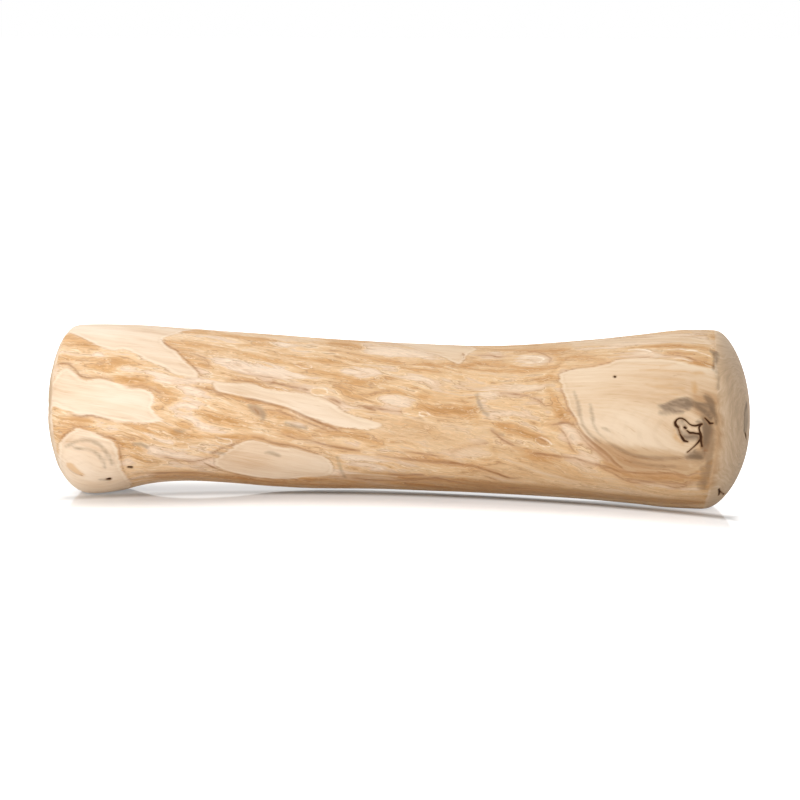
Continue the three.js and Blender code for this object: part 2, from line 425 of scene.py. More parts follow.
SEEN_PATHS[Layer.BROWN] = {
    "left end": (
        ((58, 364, 0.8), (64, 363, 1.4), (70, 364, 1)),
        ((70, 365, 0.9), (75, 369, 1.1), (80, 376, 0.9), (86, 378, 0.7), (100, 377, 0.7), (112, 380, 0.5)),
        ((73, 415, 0.6), (80, 417, 1.3), (90, 415, 0.9), (102, 418, 0.8), (110, 420, 0.5)),
        ((61, 438, 1), (66, 434, 1.5), (72, 429, 0.9), (78, 426, 0.9), (86, 428, 0.6)),
        ((96, 433, 0.5), (104, 436, 1), (112, 438, 1.2), (117, 441, 1.2), (119, 448, 1.1), (120, 456, 1.2),
         (121, 464, 0.9), (124, 470, 0.6)),
        ((119, 450, 1.2), (120, 455, 2), (121, 459, 1)),
        ((67, 468, 0.6), (71, 472, 0.9), (77, 475, 0.9), (83, 476, 0.6)),
        ((122, 470, 0.5), (127, 474, 0.9), (129, 480, 0.8), (131, 486, 0.6)),
    ),
    "waist": (
        ((128, 386, 0.5), (137, 386, 1), (142, 385, 0.6), (150, 388, 0.6), (158, 392, 0.8),
         (162, 394, 0.4)),
        # Painted shade over darker brown wood: these two strokes darken the underside of the left part.
        ((134, 474, 0.5), (150, 473, 1), (170, 473, 1.2), (192, 473, 1), (210, 474, 0.6)),
        ((128, 480, 0.6), (150, 478, 1), (176, 477, 1), (200, 477, 0.5)),
        ((161, 339, 0.5), (165, 343, 1.2), (170, 347, 1.3), (177, 350, 1), (182, 356, 0.8), (190, 363, 1),
         (198, 371, 0.8), (202, 377, 0.4)),
        ((190, 353, 0.5), (198, 355, 0.8), (205, 358, 0.8), (209, 363, 0.7), (207, 368, 0.4)),
        ((228, 380, 0.5), (236, 380, 1), (246, 381, 1), (262, 382, 0.9), (276, 383, 1.2), (288, 386, 1.3),
         (300, 388, 0.9), (308, 390, 0.5)),
        ((232, 372, 0.3), (246, 374, 0.5), (262, 376, 0.5), (280, 379, 0.4)),
        ((238, 397, 0.4), (246, 399, 1.2), (254, 400, 1.6), (264, 402, 1.1), (275, 405, 1.2),
         (288, 409, 1.1), (300, 414, 1), (311, 419, 1.2), (322, 424, 1.2), (333, 428, 1), (340, 432, 0.5)),
        ((268, 410, 0.3), (280, 412, 0.6), (292, 416, 0.6), (304, 421, 0.8), (316, 426, 0.7),
         (330, 432, 0.4)),
        ((196, 387, 0.4), (208, 389, 0.7), (220, 393, 0.6), (232, 396, 0.5)),
        ((254, 408, 0.3), (257, 411, 0.9), (259, 415, 0.4)),
        ((212, 454, 1), (220, 449, 1.1), (230, 446, 1), (240, 441, 1), (246, 438, 0.5)),
        ((164, 457, 0.5), (180, 461, 1), (194, 462, 1.1), (203, 460, 0.8), (213, 457, 0.5)),
        ((204, 463, 0.6), (214, 468, 1.1), (222, 471, 0.8), (240, 475, 0.9), (258, 478, 0.8),
         (276, 480, 0.8), (296, 479, 0.6)),
        ((252, 437, 0.8), (262, 439, 1.2), (272, 443, 1.3), (284, 445, 1.2), (296, 447, 1), (308, 451, 0.8),
         (318, 454, 0.5)),
        ((282, 434, 0.4), (296, 439, 0.6), (312, 441, 0.8), (322, 444, 0.8), (334, 447, 1.4),
         (348, 449, 1.6), (360, 451, 1)),
        ((330, 399, 0.8), (335, 400, 1.4), (340, 403, 0.9)),
    ),
    "middle": (
        ((364, 407, 0.8), (371, 409, 1.4), (376, 411, 0.6)),
        ((342, 401, 0.4), (360, 405, 0.6), (380, 409, 0.7), (402, 412, 0.4)),
        ((461, 355, 0.7), (463, 352, 0.9), (465, 355, 0.7), (462, 359, 0.4)),
        ((376, 454, 0.5), (390, 457, 1), (404, 459, 1.6), (420, 461, 1.4), (438, 462, 1.6), (452, 463, 1.7),
         (464, 465, 1.2), (476, 467, 1.4), (486, 470, 1.2), (498, 474, 1.7), (508, 478, 1.4),
         (518, 479, 0.8)),
        ((404, 452, 0.5), (418, 453, 0.9), (430, 455, 0.8), (444, 457, 0.4)),
        ((388, 474, 0.6), (396, 475, 1.3), (406, 476, 1.2), (414, 475, 1), (424, 475, 0.7)),
        ((352, 478, 0.5), (370, 480, 1), (392, 481, 0.8), (416, 480, 1), (436, 478, 1.3), (450, 481, 1.1),
         (462, 483, 0.5)),
        ((452, 452, 0.2), (462, 447, 0.35), (474, 445, 0.35), (488, 443, 0.2)),
    ),
    "stretch before the collar": (
        ((478, 355, 0.4), (492, 355, 0.8), (497, 357, 1), (508, 356, 0.5)),
        ((522, 353, 0.3), (536, 351, 0.6), (546, 355, 0.8), (552, 359, 0.6), (546, 365, 0.4)),
        ((500, 393, 0.3), (514, 394, 0.6), (528, 396, 0.7), (538, 400, 0.6), (546, 406, 0.5)),
        ((551, 425, 0.6), (557, 424, 1.4), (566, 422, 1.2), (574, 425, 1)),
        ((562, 390, 0.4), (565, 399, 0.6), (568, 408, 0.7), (573, 415, 0.8), (577, 423, 1), (580, 430, 1.1),
         (586, 437, 1.3), (594, 444, 1.4), (602, 450, 1.4), (609, 456, 1.3), (614, 462, 1.1),
         (622, 468, 0.8)),
        ((572, 420, 0.4), (577, 430, 0.5), (582, 438, 0.6), (590, 446, 0.6), (600, 454, 0.7),
         (608, 461, 0.5)),
        ((558, 427, 0.5), (564, 433, 0.7), (568, 440, 0.7), (570, 446, 0.7), (574, 451, 0.7),
         (578, 454, 0.5)),
        ((538, 438, 0.5), (542, 440, 1.2), (546, 442, 0.7)),
        ((491, 431, 0.7), (497, 435, 1), (502, 440, 1), (508, 443, 1.2), (514, 446, 1), (521, 447, 0.6)),
        ((484, 476, 0.6), (490, 478, 1.1), (497, 480, 0.6)),
        ((490, 487, 0.4), (510, 488, 0.8), (530, 489, 0.8), (552, 491, 0.5)),
    ),
    "collar": (
        ((560, 373, 0.6), (568, 370, 0.8), (576, 368, 0.7), (590, 367, 0.5), (602, 364, 0.7),
         (610, 362, 0.6), (617, 359, 0.5), (632, 357, 0.4), (650, 357, 0.4)),
        ((530, 453, 0.5), (540, 454, 1.2), (550, 455, 1.1), (562, 457, 1), (574, 458, 0.8), (586, 462, 0.9),
         (596, 465, 1.2), (606, 467, 1.6), (618, 471, 1.2), (634, 473, 0.8), (652, 474, 0.8),
         (668, 473, 0.7), (680, 476, 0.8), (689, 479, 0.9)),
        ((596, 464, 0.5), (604, 470, 1.1), (614, 474, 1.2), (622, 479, 1.4), (632, 483, 1.1),
         (648, 483, 0.9), (664, 485, 0.9), (676, 488, 1.1), (686, 487, 1.1), (690, 482, 0.8)),
        ((668, 470, 0.4), (674, 472, 0.7), (682, 475, 0.9), (689, 479, 0.9)),
        ((624, 461, 0.8), (629, 462, 1.4), (632, 464, 0.7)),
        ((600, 440, 0.2), (616, 450, 0.4), (634, 457, 0.45), (654, 460, 0.4), (674, 460, 0.4),
         (688, 457, 0.2)),
        ((612, 452, 0.2), (628, 461, 0.4), (646, 465, 0.4), (664, 466, 0.4), (680, 467, 0.2)),
        ((634, 467, 0.2), (652, 469.5, 0.4), (668, 470, 0.3)),
        ((628, 479, 0.2), (644, 481, 0.5), (660, 481.5, 0.4), (674, 484, 0.5), (684, 484, 0.3)),
        ((670, 377, 0.4), (675, 375, 0.8), (681, 374, 0.4)),
        ((664, 355, 0.5), (672, 355, 1), (682, 355.5, 0.9), (690, 358, 0.9), (698, 361, 0.7)),
    ),
    "right end": (
        ((703.5, 452, 0.5), (706, 448.5, 0.6), (708.5, 445.5, 0.5), (710, 441, 0.3), (712, 434, 0.3)),
        ((704, 458, 0.4), (706.5, 453.5, 0.4), (709, 450, 0.2)),
    ),
}
SEEN_PATHS[Layer.LIGHT] = {
    "waist": (
        ((262, 385, 0.3), (276, 387, 0.6), (290, 391, 0.4)),
    ),
    "middle": (
        ((345, 473, 0.6), (362, 474, 0.9), (380, 475, 0.8), (398, 477, 0.6)),
    ),
    "stretch before the collar": (
        ((524, 357, 0.5), (536, 356, 0.6), (545, 359, 0.6), (538, 363, 0.6), (526, 363, 0.5)),
    ),
    "collar": (
        ((666, 350, 0.6), (680, 349, 0.9), (696, 351, 0.8), (710, 356, 0.6)),
        ((672, 358, 0.4), (682, 358.5, 0.7), (694, 362, 0.7)),
        ((628, 350, 0.5), (636, 349, 0.8), (646, 350, 0.8), (652, 352, 0.4)),
    ),
}
SEEN_PATHS[Layer.STAIN] = {
    "left end": (
        ((66, 447, 0.6), (72, 443, 1.4), (82, 440, 1.6), (92, 441, 1.8), (101, 446, 1.8), (108, 455, 1.4),
         (113, 465, 0.8)),
        ((76, 449, 0.6), (84, 448, 0.9), (94, 451, 1), (101, 458, 0.9), (105, 468, 0.5)),
        ((100, 480, 0.7), (105, 480, 1.2), (109, 480, 1.6)),
    ),
    "waist": (
        ((134, 444, 1.4), (141, 444, 2), (147, 447, 1)),
        ((249, 406, 1.6), (255, 409, 4), (260, 412, 4.4), (264, 416, 3), (262, 420, 1.6)),
        ((175, 430, 1.2), (180, 432, 1.8), (184, 431, 0.8)),
        ((212, 453, 1.2), (218, 452, 1.6), (224, 454, 1)),
        ((266, 453, 0.8), (272, 453, 1.4), (279, 456, 0.9)),
        ((286, 424, 1), (296, 427, 1.8), (306, 428, 1.2)),
        ((337, 457, 0.5), (339, 463, 0.9), (341, 470, 0.8), (345, 477, 1)),
    ),
    "middle": (
        ((477, 396, 1.2), (479, 403, 1.6), (482, 410, 1.4), (488, 415, 1)),
    ),
    "stretch before the collar": (
        ((492, 430, 1), (496, 434, 1.4), (503, 435, 1)),
        ((574, 392, 0.7), (578, 404, 1.3), (580, 416, 1.5), (583, 426, 1.4), (590, 435, 1.2),
         (600, 443, 0.8)),
    ),
    "collar": (
        ((590, 404, 0.7), (592, 414, 1.2), (593, 424, 1.2), (598, 433, 1), (606, 440, 0.7)),
        ((608, 442, 0.7), (620, 450, 1.4), (634, 456, 1.5), (650, 458, 1.4), (668, 459, 1.2),
         (684, 458, 0.8)),
        ((630, 462, 0.6), (646, 465, 1), (660, 467, 1), (676, 467, 0.7)),
        ((602, 428, 0.8), (606, 429, 1.6), (609, 431, 0.9)),
        ((660, 413, 1.6), (667, 411.5, 2.4), (675, 412, 1.8), (684, 412.5, 1.2)),
        ((659, 406, 1), (664, 407, 2.6), (670, 406, 4), (677, 405, 5.4), (687, 404, 5.6)),
        ((685.5, 431, 1), (686.5, 435, 2.2), (688, 439.5, 2)),
        ((682.5, 432, 2), (686.5, 436.5, 4.4), (691, 438, 3.6), (696, 438, 2.6)),
        ((679, 421.5, 1), (682, 424, 2), (686, 426, 1.6)),
    ),
    "right end": (
        ((692, 404, 2), (698, 406, 4), (705, 408, 5), (711, 410, 4)),
        ((703, 414, 2), (708, 424, 5), (709, 434, 6), (707, 442, 5), (704, 450, 3)),
        ((712, 426, 1.6), (713, 438, 2), (711, 448, 2.4), (710, 458, 2)),
        ((687, 457, 2.6), (692, 456, 5), (698, 456, 6), (706, 455, 4)),
        # Painted shade: this wide streak darkens the wood right of the knot, where it curves away from the
        # light.
        ((709, 416, 2), (711, 428, 3), (711, 444, 3.4), (709, 462, 3.6), (706, 478, 3), (703, 488, 2)),
        ((699, 464, 0.8), (703, 471, 1.4), (702, 479, 1.2), (698, 487, 0.6)),
        ((713, 352, 1), (716, 358, 1.6), (715, 366, 1), (718, 376, 1), (718, 388, 1)),
        ((704, 427, 2.6), (707, 433, 4.4), (708, 441, 4.4), (705, 449, 3)),
        ((746.8, 408, 5), (746.6, 417, 9), (746, 427, 7)),
        ((712, 351, 0.8), (717, 354, 1.3), (718, 360, 1)),
    ),
}
SEEN_PATHS[Layer.SHADE] = {
    "collar": (
        ((664, 405.5, 0.4), (668, 404, 0.9), (673, 402, 0.8), (679, 400, 0.9), (685, 399, 1.1),
         (689, 399.5, 0.8)),
        ((664, 408.5, 0.4), (670, 409.5, 0.6), (676, 411, 0.5), (683, 411.5, 0.4)),
        ((662, 406, 0.3), (669, 406.5, 0.8), (676, 405, 0.5), (682, 403.5, 0.9)),
        ((680, 406.5, 0.5), (685, 405, 1.8), (689, 403, 2.4), (689.5, 406, 1.6), (688, 409, 0.8)),
        ((677.6, 427, 1), (678.8, 430, 0.8), (680, 433.6, 1)),
        ((681.8, 420.3, 0.7), (682.4, 420.7, 0.6)),
    ),
    "right end": (
        ((705, 396, 1), (709, 399, 2.6), (711.5, 404, 3), (713, 410, 2), (715, 415, 1.2), (716, 420, 1),
         (716, 424, 0.5)),
        ((694, 402.5, 0.4), (700, 404, 0.6), (706, 405, 1.2), (710, 405, 1.2)),
        ((703, 420, 0.8), (705.5, 426, 2.4), (706.5, 432, 3.4), (706, 438, 3), (704, 443, 1.8),
         (702.5, 447, 1)),
        ((702.3, 446.8, 1), (703.5, 446.5, 0.7)),
        ((684.5, 436.5, 0.6), (688, 437.5, 1.3), (692, 436.5, 1.2), (697, 436, 1.4), (698.5, 439, 0.8)),
        ((697, 421, 0.8), (701, 422.5, 1.4), (703, 424, 1)),
        ((688, 458, 0.8), (692, 456, 1.8), (697, 456.5, 2.2), (702, 458, 1.2)),
        ((709.5, 424, 0.5), (710.5, 432, 1), (709, 441, 0.9), (705.5, 450, 0.7), (702, 457, 0.5)),
        ((696, 405.5, 0.5), (701, 408.5, 1), (706, 412.5, 1.2), (711, 418, 1.1)),
        ((695, 451.6, 0.7), (696.4, 454.5, 0.9)),
        ((700, 455.6, 0.7), (702, 457, 0.6)),
        ((711, 350, 0.4), (714, 355, 0.8), (716, 360, 1), (714, 366, 0.6), (713, 369, 0.4)),
        ((716.5, 352, 0.5), (718, 356, 0.8), (716.5, 360, 0.6)),
        ((747, 404, 1.2), (745.8, 407, 1.8), (744.6, 413, 1), (744.2, 421, 1), (744.4, 430, 1.6)),
    ),
}
SEEN_PATHS[Layer.CRACK] = {
    "collar": (
        ((678, 427.4, 0.7), (675.8, 425.4, 1.2), (674.8, 423, 1.1), (675.8, 420.4, 0.6), (678, 418.4, 0.45),
         (681, 417.8, 0.45), (684.4, 419.2, 0.5), (687, 421.5, 0.35), (689, 424, 0.35), (692, 425.4, 0.5),
         (695, 425.9, 0.7), (697.5, 425.4, 0.6), (700, 424.6, 1.1), (701.8, 424.2, 0.8)),
        ((680, 434.4, 0.4), (681.6, 437, 1), (683.2, 440.2, 1.1), (685.6, 442, 0.8), (687.6, 441.8, 0.5)),
        ((677.8, 427.2, 0.3), (678.8, 430, 0.15), (679.6, 432.6, 0.15), (680.4, 435, 0.3)),
    ),
    "right end": (
        ((700.6, 424.8, 0.8), (699, 427.4, 0.6), (699.4, 430.2, 0.5), (700.2, 432.8, 1), (701, 436, 1.3),
         (700.8, 439.5, 1), (701.4, 443, 0.7), (702, 446.6, 0.6)),
        ((687, 430.6, 0.4), (689, 432.6, 0.7), (691.4, 433.6, 0.9), (694, 432.6, 0.7), (697, 433.8, 0.6),
         (700, 434, 1)),
        ((700, 440, 0.8), (698.2, 442.6, 0.7), (695.6, 445.4, 0.4), (691.6, 449, 0.3), (687.4, 452.4, 0.3)),
        ((705, 418, 0.35), (708, 421, 0.6), (710, 423.4, 0.8), (711.6, 424.3, 0.9), (713.2, 423.2, 0.4)),
        ((745, 433, 0.7), (746, 436.5, 1.5), (746.4, 439, 0.8)),
        ((719, 489, 0.6), (719.6, 492, 1), (719, 495, 0.7)),
        ((719.5, 491, 0.7), (721.5, 493, 0.6), (724, 494.4, 0.5)),
    ),
}
SEEN_PATHS[Layer.PIT] = {
    "left end": (
        ((107.5, 479.5, 1), (109.4, 479.3, 1.9)),
        ((128.5, 467, 0.9), (131.5, 467.2, 1.2)),
    ),
    "collar": (
        ((614.4, 376.3, 0.8), (615, 376.5, 0.8)),
        ((684.6, 427.5, 1), (685.6, 428.2, 0.9)),
    ),
}

# The paths of streaks that are out of sight, as (at, turn, half width).
HIDDEN_PATHS: Paths = {layer: {} for layer in Layer}
HIDDEN_PATHS[Layer.OCHRE] = {
    "stub on the back": (
        ((50, 158, 1.2), (53, 157, 1.6), (55, 159, 1)),
    ),
}
HIDDEN_PATHS[Layer.BROWN] = {
    "stub on the back": (
        ((40, 152, 0.2), (38.5, 162, 0.3), (41, 173, 0.35), (47, 180, 0.3), (55, 181, 0.25),
         (62, 176, 0.3)),
    ),
}
HIDDEN_PATHS[Layer.STAIN] = {
    "stub on the back": (
        ((46, 165, 0.3), (52, 172, 0.5), (59, 166, 0.4), (60, 155, 0.2)),
    ),
}
HIDDEN_PATHS[Layer.CRACK] = {
    "left end's rim": (
        ((3, 148, 0.22), (7, 147, 0.25), (12, 149, 0.12)),
    ),
    "stub on the back": (
        ((49.5, 159, 0.15), (51.5, 157, 0.3), (53.5, 159, 0.28), (54.6, 163, 0.12)),
    ),
    "right end": (
        ((186, 231, 0.12), (189.5, 229, 0.25), (193, 231.5, 0.24), (196, 228.5, 0.1)),
    ),
}
HIDDEN_PATHS[Layer.PIT] = {
    "stub on the back": (
        ((52.6, 154, 0.3), (53, 154, 0.35)),
    ),
    "back": (
        ((141, 205, 0.35), (142, 205, 0.3)),
    ),
}

EYES = (
    Eye("the larger eye", 319, 391.5, 9.5, 4.4, 0.05),
    Eye("the smaller eye", 303, 365, 9, 3, 0.22),
    Eye("the left eye", 181, 446, 10, 4.4, 0.05),
    Eye("the low eye", 224, 441, 9, 3, 0.1),
    Eye("the eye by the branch", 543, 442, 8, 4, 0.3),
    Eye("the speckled eye", 424, 414, 6, 2.2, 0.1),
)


@dataclass(frozen=True)
class Viewpoint:
    """Where the photograph was taken from.

    Attributes:
        azimuth: Degrees round the stick, from its front towards its right end.
        elevation: Degrees above the floor.
        distance: Metres from the target.
        target: The point that it looks at.
        target_pixel: Where that point shows in the picture.
        focal_pixels: Focal length, in pixels.
        image_pixels: Width and height of the picture.
        sensor: Width of the sensor, in millimetres.
    """

    azimuth: float = 8.0
    elevation: float = 10.0
    distance: float = 0.7
    target: tuple[float, float, float] = (0.0, 0.0, 0.024)
    target_pixel: tuple[float, float] = (399.5, 414.6)
    focal_pixels: float = 2430.0
    image_pixels: float = 800.0
    sensor: float = 36.0

    @property
    def back(self) -> Vector:
        """The direction from the target to the camera."""
        turn, lift = math.radians(self.azimuth), math.radians(self.elevation)
        return Vector((math.sin(turn) * math.cos(lift), -math.cos(turn) * math.cos(lift), math.sin(lift)))

    @property
    def place(self) -> Vector:
        """The camera's place."""
        return Vector(self.target) + self.back * self.distance

    def ray(self, x: float, y: float) -> Vector:
        """Gives the direction in which a pixel looks.

        Args:
            x: Pixel column.
            y: Pixel row.

        Returns:
            A unit vector away from the camera.
        """
        right = Vector((0, 0, 1)).cross(self.back).normalized()
        up = self.back.cross(right)
        column, row = self.target_pixel
        sideways = right * ((x - column) / self.focal_pixels)
        upwards = up * ((row - y) / self.focal_pixels)
        return (sideways + upwards - self.back).normalized()

    def make_camera(self) -> bpy.types.Object:
        """Makes the scene's camera.

        Returns:
            The camera's object.
        """
        data = bpy.data.cameras.new("camera")
        data.sensor_width = self.sensor
        data.lens = self.focal_pixels * self.sensor / self.image_pixels
        middle = self.image_pixels / 2
        data.shift_x = (middle - self.target_pixel[0]) / self.image_pixels
        data.shift_y = (self.target_pixel[1] - middle) / self.image_pixels
        camera = bpy.data.objects.new("camera", data)
        camera.location = self.place
        camera.rotation_euler = (-self.back).to_track_quat("-Z", "Y").to_euler()
        bpy.context.scene.collection.objects.link(camera)
        bpy.context.scene.camera = camera
        return camera


class Stick:
    """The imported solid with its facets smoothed, as a surface that rays can be cast on."""

    stations = 61
    smoothing = 2
    weld = 0.001  # corners closer than this are joined, in millimetres
    end_inset = 4.0  # the middle line stops this far from each tip
    point_inset = 3.0  # given points stay this far from each tip
    core = (0.004, 0.024)  # where the search for the middle starts, as y and z in metres

    def __init__(self, node: bpy.types.Object) -> None:
        """Smooths a copy of the solid and finds its middle line.

        Args:
            node: The solid's object, which is left as it is.
        """
        mesh = bmesh.new()
        mesh.from_mesh(node.data)
        bmesh.ops.remove_doubles(mesh, verts=mesh.verts, dist=self.weld * MM)
        bmesh.ops.join_triangles(
            mesh, faces=mesh.faces, angle_face_threshold=math.pi, angle_shape_threshold=math.pi
        )
        data = bpy.data.meshes.new("smoothed")
        mesh.to_mesh(data)
        mesh.free()
        helper = bpy.data.objects.new("smoothed", data)
        bpy.context.scene.collection.objects.link(helper)
        surface = helper.modifiers.new("smooth", "SUBSURF")
        surface.levels = surface.render_levels = self.smoothing
        graph = bpy.context.evaluated_depsgraph_get()
        self.tree = BVHTree.FromObject(helper, graph)
        bpy.data.objects.remove(helper)
        bpy.data.meshes.remove(data)
        self.tip = node.bound_box[0][0]
        inset = self.end_inset * MM
        self.station_x = np.linspace(self.tip + inset, self.tip + LENGTH * MM - inset, self.stations)
        middles = [self._middle(x) for x in self.station_x]
        self.middle_y, self.middle_z = np.array(middles).T

    def _middle(self, x: float) -> tuple[float, float]:
        """Finds the middle of the section at x.

        Args:
            x: Place along the stick, in metres.

        Returns:
            The middle's y and z.
        """
        y, z = self.core
        for _ in range(2):
            front, back, up, down = (
                self.tree.ray_cast(Vector((x, y, z)), Vector(aim))[0]
                for aim in ((0, -1, 0), (0, 1, 0), (0, 0, 1), (0, 0, -1))
            )
            y = (front.y + back.y) / 2
            z = (up.z + down.z) / 2
        return y, z

    def middle(self, x: np.ndarray) -> tuple[np.ndarray, np.ndarray]:
        """Gives the middle line.

        Args:
            x: Places along the stick, in metres.

        Returns:
            The line's y and z there.
        """
        return np.interp(x, self.station_x, self.middle_y), np.interp(x, self.station_x, self.middle_z)

    def cast(self, x: float, turn: float, lean: float = 0.0) -> Vector:
        """Finds the surface from the middle line.

        Args:
            x: Where the ray starts on the middle line, in metres.
            turn: The ray's angle up from the front, in radians.
            lean: How far it leans towards the right end, in radians.

        Returns:
            The point on the surface.
        """
        y, z = self.middle(x)
        aim = Vector((math.sin(lean), -math.cos(lean) * math.cos(turn), math.cos(lean) * math.sin(turn)))
        return self.tree.ray_cast(Vector((x, y, z)), aim)[0]

    def point(self, at: float, turn: float) -> Vector:
        """Finds the surface at a place named in the stick's own terms.

        Args:
            at: Distance from the left tip, in millimetres.
            turn: Degrees up from the front.

        Returns:
            The point on the surface.
        """
        held = min(max(at, self.point_inset), LENGTH - self.point_inset)
        return self.cast(self.tip + held * MM, math.radians(turn))

    def unroll(self, points: np.ndarray) -> tuple[np.ndarray, np.ndarray]:
        """Unrolls points of the surface into a flat sheet.

        Args:
            points: Rows of x, y and z, in metres.

        Returns:
            The distances from the left tip and up round the stick from its front, in millimetres.
        """
        y, z = self.middle(points[:, 0])
        turn = np.arctan2(points[:, 2] - z, y - points[:, 1])
        return (points[:, 0] - self.tip) / MM, turn * GIRTH_RADIUS


def wrapped(distance: np.ndarray) -> np.ndarray:
    """Brings distances round the stick to within half a turn either way."""
    once = 2 * math.pi * GIRTH_RADIUS
    return (distance + once / 2) % once - once / 2


def rounded(outline: np.ndarray, times: int = 2, cut: float = 0.25) -> np.ndarray:
    """Cuts the corners of a closed outline.

    Args:
        outline: Its points, one in each row.
        times: How often the corners are cut.
        cut: The share of each side that goes with a corner.

    Returns:
        The rounder outline.
    """
    for _ in range(times):
        following = np.roll(outline, -1, axis=0)
        near = (1 - cut) * outline + cut * following
        far = cut * outline + (1 - cut) * following
        outline = np.stack((near, far), axis=1).reshape(-1, outline.shape[1])
    return outline


class Figure:
    """The marks of the wood, placed on the stick and measured from any point of it."""

    step_pixels = 3.0  # spacing of the points that a streak is placed by
    step_mm = 2.5  # the same out of sight
    tiny_square = 1e-9  # keeps a side of no length from dividing by nothing, in square millimetres
    tiny_stretch = 1e-15  # the same for a streak, in square metres

    def __init__(self, stick: Stick, view: Viewpoint) -> None:
        """Keeps what the marks are placed with.

        Args:
            stick: The surface that they lie on.
            view: The viewpoint that their pixels are seen from.
        """
        self.stick = stick
        self.view = view
        self.pixels_per_mm = view.focal_pixels / view.distance * MM

    def pierce(self, x: float, y: float) -> Vector | None:
        """Finds the surface under a pixel.

        Args:
            x: Pixel column.
            y: Pixel row.

        Returns:
            The point, or None where the pixel misses the stick.
        """
        return self.stick.tree.ray_cast(self.view.place, self.view.ray(x, y))[0]

    def outline(self, patch: Patch) -> np.ndarray:
        """Places a patch's outline on the unrolled sheet.

        Args:
            patch: The patch.

        Returns:
            The outline's points.
        """
        found = [self.pierce(x, y) for x, y in patch.seen]
        seen = [point for point in found if point is not None]
        flat = []
        if seen:
            flat = list(np.column_stack(self.stick.unroll(np.array(seen))))
        flat += [np.array((at, math.radians(turn) * GIRTH_RADIUS)) for at, turn in patch.hidden]
        outline = np.array(flat)
        start = outline[0, 1]
        outline[:, 1] = start + wrapped(outline[:, 1] - start)
        return rounded(outline)

    def path(self, streak: Streak) -> tuple[np.ndarray, np.ndarray]:
        """Places a streak's line on the surface.

        Args:
            streak: The streak.

        Returns:
            The line's points in metres, and its half width at each, in millimetres.
        """
        nodes = np.array(streak.seen or streak.hidden, dtype=float)
        step = self.step_pixels if len(streak.seen) else self.step_mm
        lengths = np.hypot(np.diff(nodes[:, 0]), np.diff(nodes[:, 1]))
        travelled = np.concatenate(([0.0], np.cumsum(lengths)))
        count = max(2, int(travelled[-1] / step) + 1)
        stops = np.linspace(0, travelled[-1], count)
        first, second, width = (np.interp(stops, travelled, column) for column in nodes.T)
        points, widths = [], []
        for a, b, half in zip(first, second, width):
            point = self.pierce(a, b) if len(streak.seen) else self.stick.point(a, b)
            if point is not None:
                points.append(point)
                widths.append(half / self.pixels_per_mm if len(streak.seen) else half)
        return np.array(points), np.array(widths)

    def patch_distance(self, outline: np.ndarray, at: np.ndarray, up: np.ndarray) -> np.ndarray:
        """Measures how far points are from an outline on the unrolled sheet.

        Args:
            outline: The outline's points.
            at: The points' distance from the left tip.
            up: Their distance round the stick.

        Returns:
            The distances in millimetres, negative inside and cut off at FAR.
        """
        result = np.full(len(at), FAR)
        middle = outline[:, 1].mean()
        rise = wrapped(up - middle) + middle
        low, high = outline.min(axis=0) - FAR, outline.max(axis=0) + FAR
        near = (at > low[0]) & (at < high[0]) & (rise > low[1]) & (rise < high[1])
        x, y = at[near], rise[near]
        best = np.full(len(x), FAR * FAR)
        inside = np.zeros(len(x), dtype=bool)
        for (x0, y0), (x1, y1) in zip(outline, np.roll(outline, -1, axis=0)):
            dx, dy = x1 - x0, y1 - y0
            share = np.clip(((x - x0) * dx + (y - y0) * dy) / (dx * dx + dy * dy + self.tiny_square), 0, 1)
            best = np.minimum(best, (x - x0 - share * dx) ** 2 + (y - y0 - share * dy) ** 2)
            crosses = (y0 > y) != (y1 > y)
            slope = dx / dy if y0 != y1 else 0.0
            inside ^= crosses & (x < x0 + (y - y0) * slope)
        distance = np.sqrt(best)
        result[near] = np.where(inside, -distance, distance)
        return result

    def streak_distance(self, path: np.ndarray, widths: np.ndarray, points: np.ndarray) -> np.ndarray:
        """Measures how far points are from a streak's edge.

        Args:
            path: The streak's points, in metres.
            widths: Its half width at each, in millimetres.
            points: The points to measure from, sorted by x.

        Returns:
            The distances in millimetres, negative inside and cut off at FAR.
        """
        result = np.full(len(points), FAR)
        for start, end, near, far in zip(path, path[1:], widths, widths[1:]):
            reach = FAR * MM
            low = np.searchsorted(points[:, 0], min(start[0], end[0]) - reach)
            high = np.searchsorted(points[:, 0], max(start[0], end[0]) + reach)
            local = points[low:high] - start
            along = end - start
            share = np.clip(local @ along / (along @ along + self.tiny_stretch), 0, 1)
            away = np.linalg.norm(local - share[:, None] * along, axis=1) / MM
            result[low:high] = np.minimum(result[low:high], away - near - share * (far - near))
        return result

    def measure(self, points: np.ndarray, marks: Iterable[Patch | Streak]) -> dict[Layer, np.ndarray]:
        """Measures the distance from points to the nearest mark of each layer.

        Args:
            points: Rows of x, y and z, in metres.
            marks: The marks.

        Returns:
            For each layer, the distances in millimetres, negative inside its marks.
        """
        order = np.argsort(points[:, 0])
        ordered = points[order]
        at, up = self.stick.unroll(ordered)
        layers = {layer: np.full(len(points), FAR) for layer in Layer}
        for mark in marks:
            if isinstance(mark, Patch):
                distance = self.patch_distance(self.outline(mark), at, up)
            else:
                path, widths = self.path(mark)
                if len(path) < 2:
                    LOG.warning("%s misses the stick", mark.name)
                    continue
                distance = self.streak_distance(path, widths, ordered)
            layers[mark.layer][order] = np.minimum(layers[mark.layer][order], distance)
        return layers


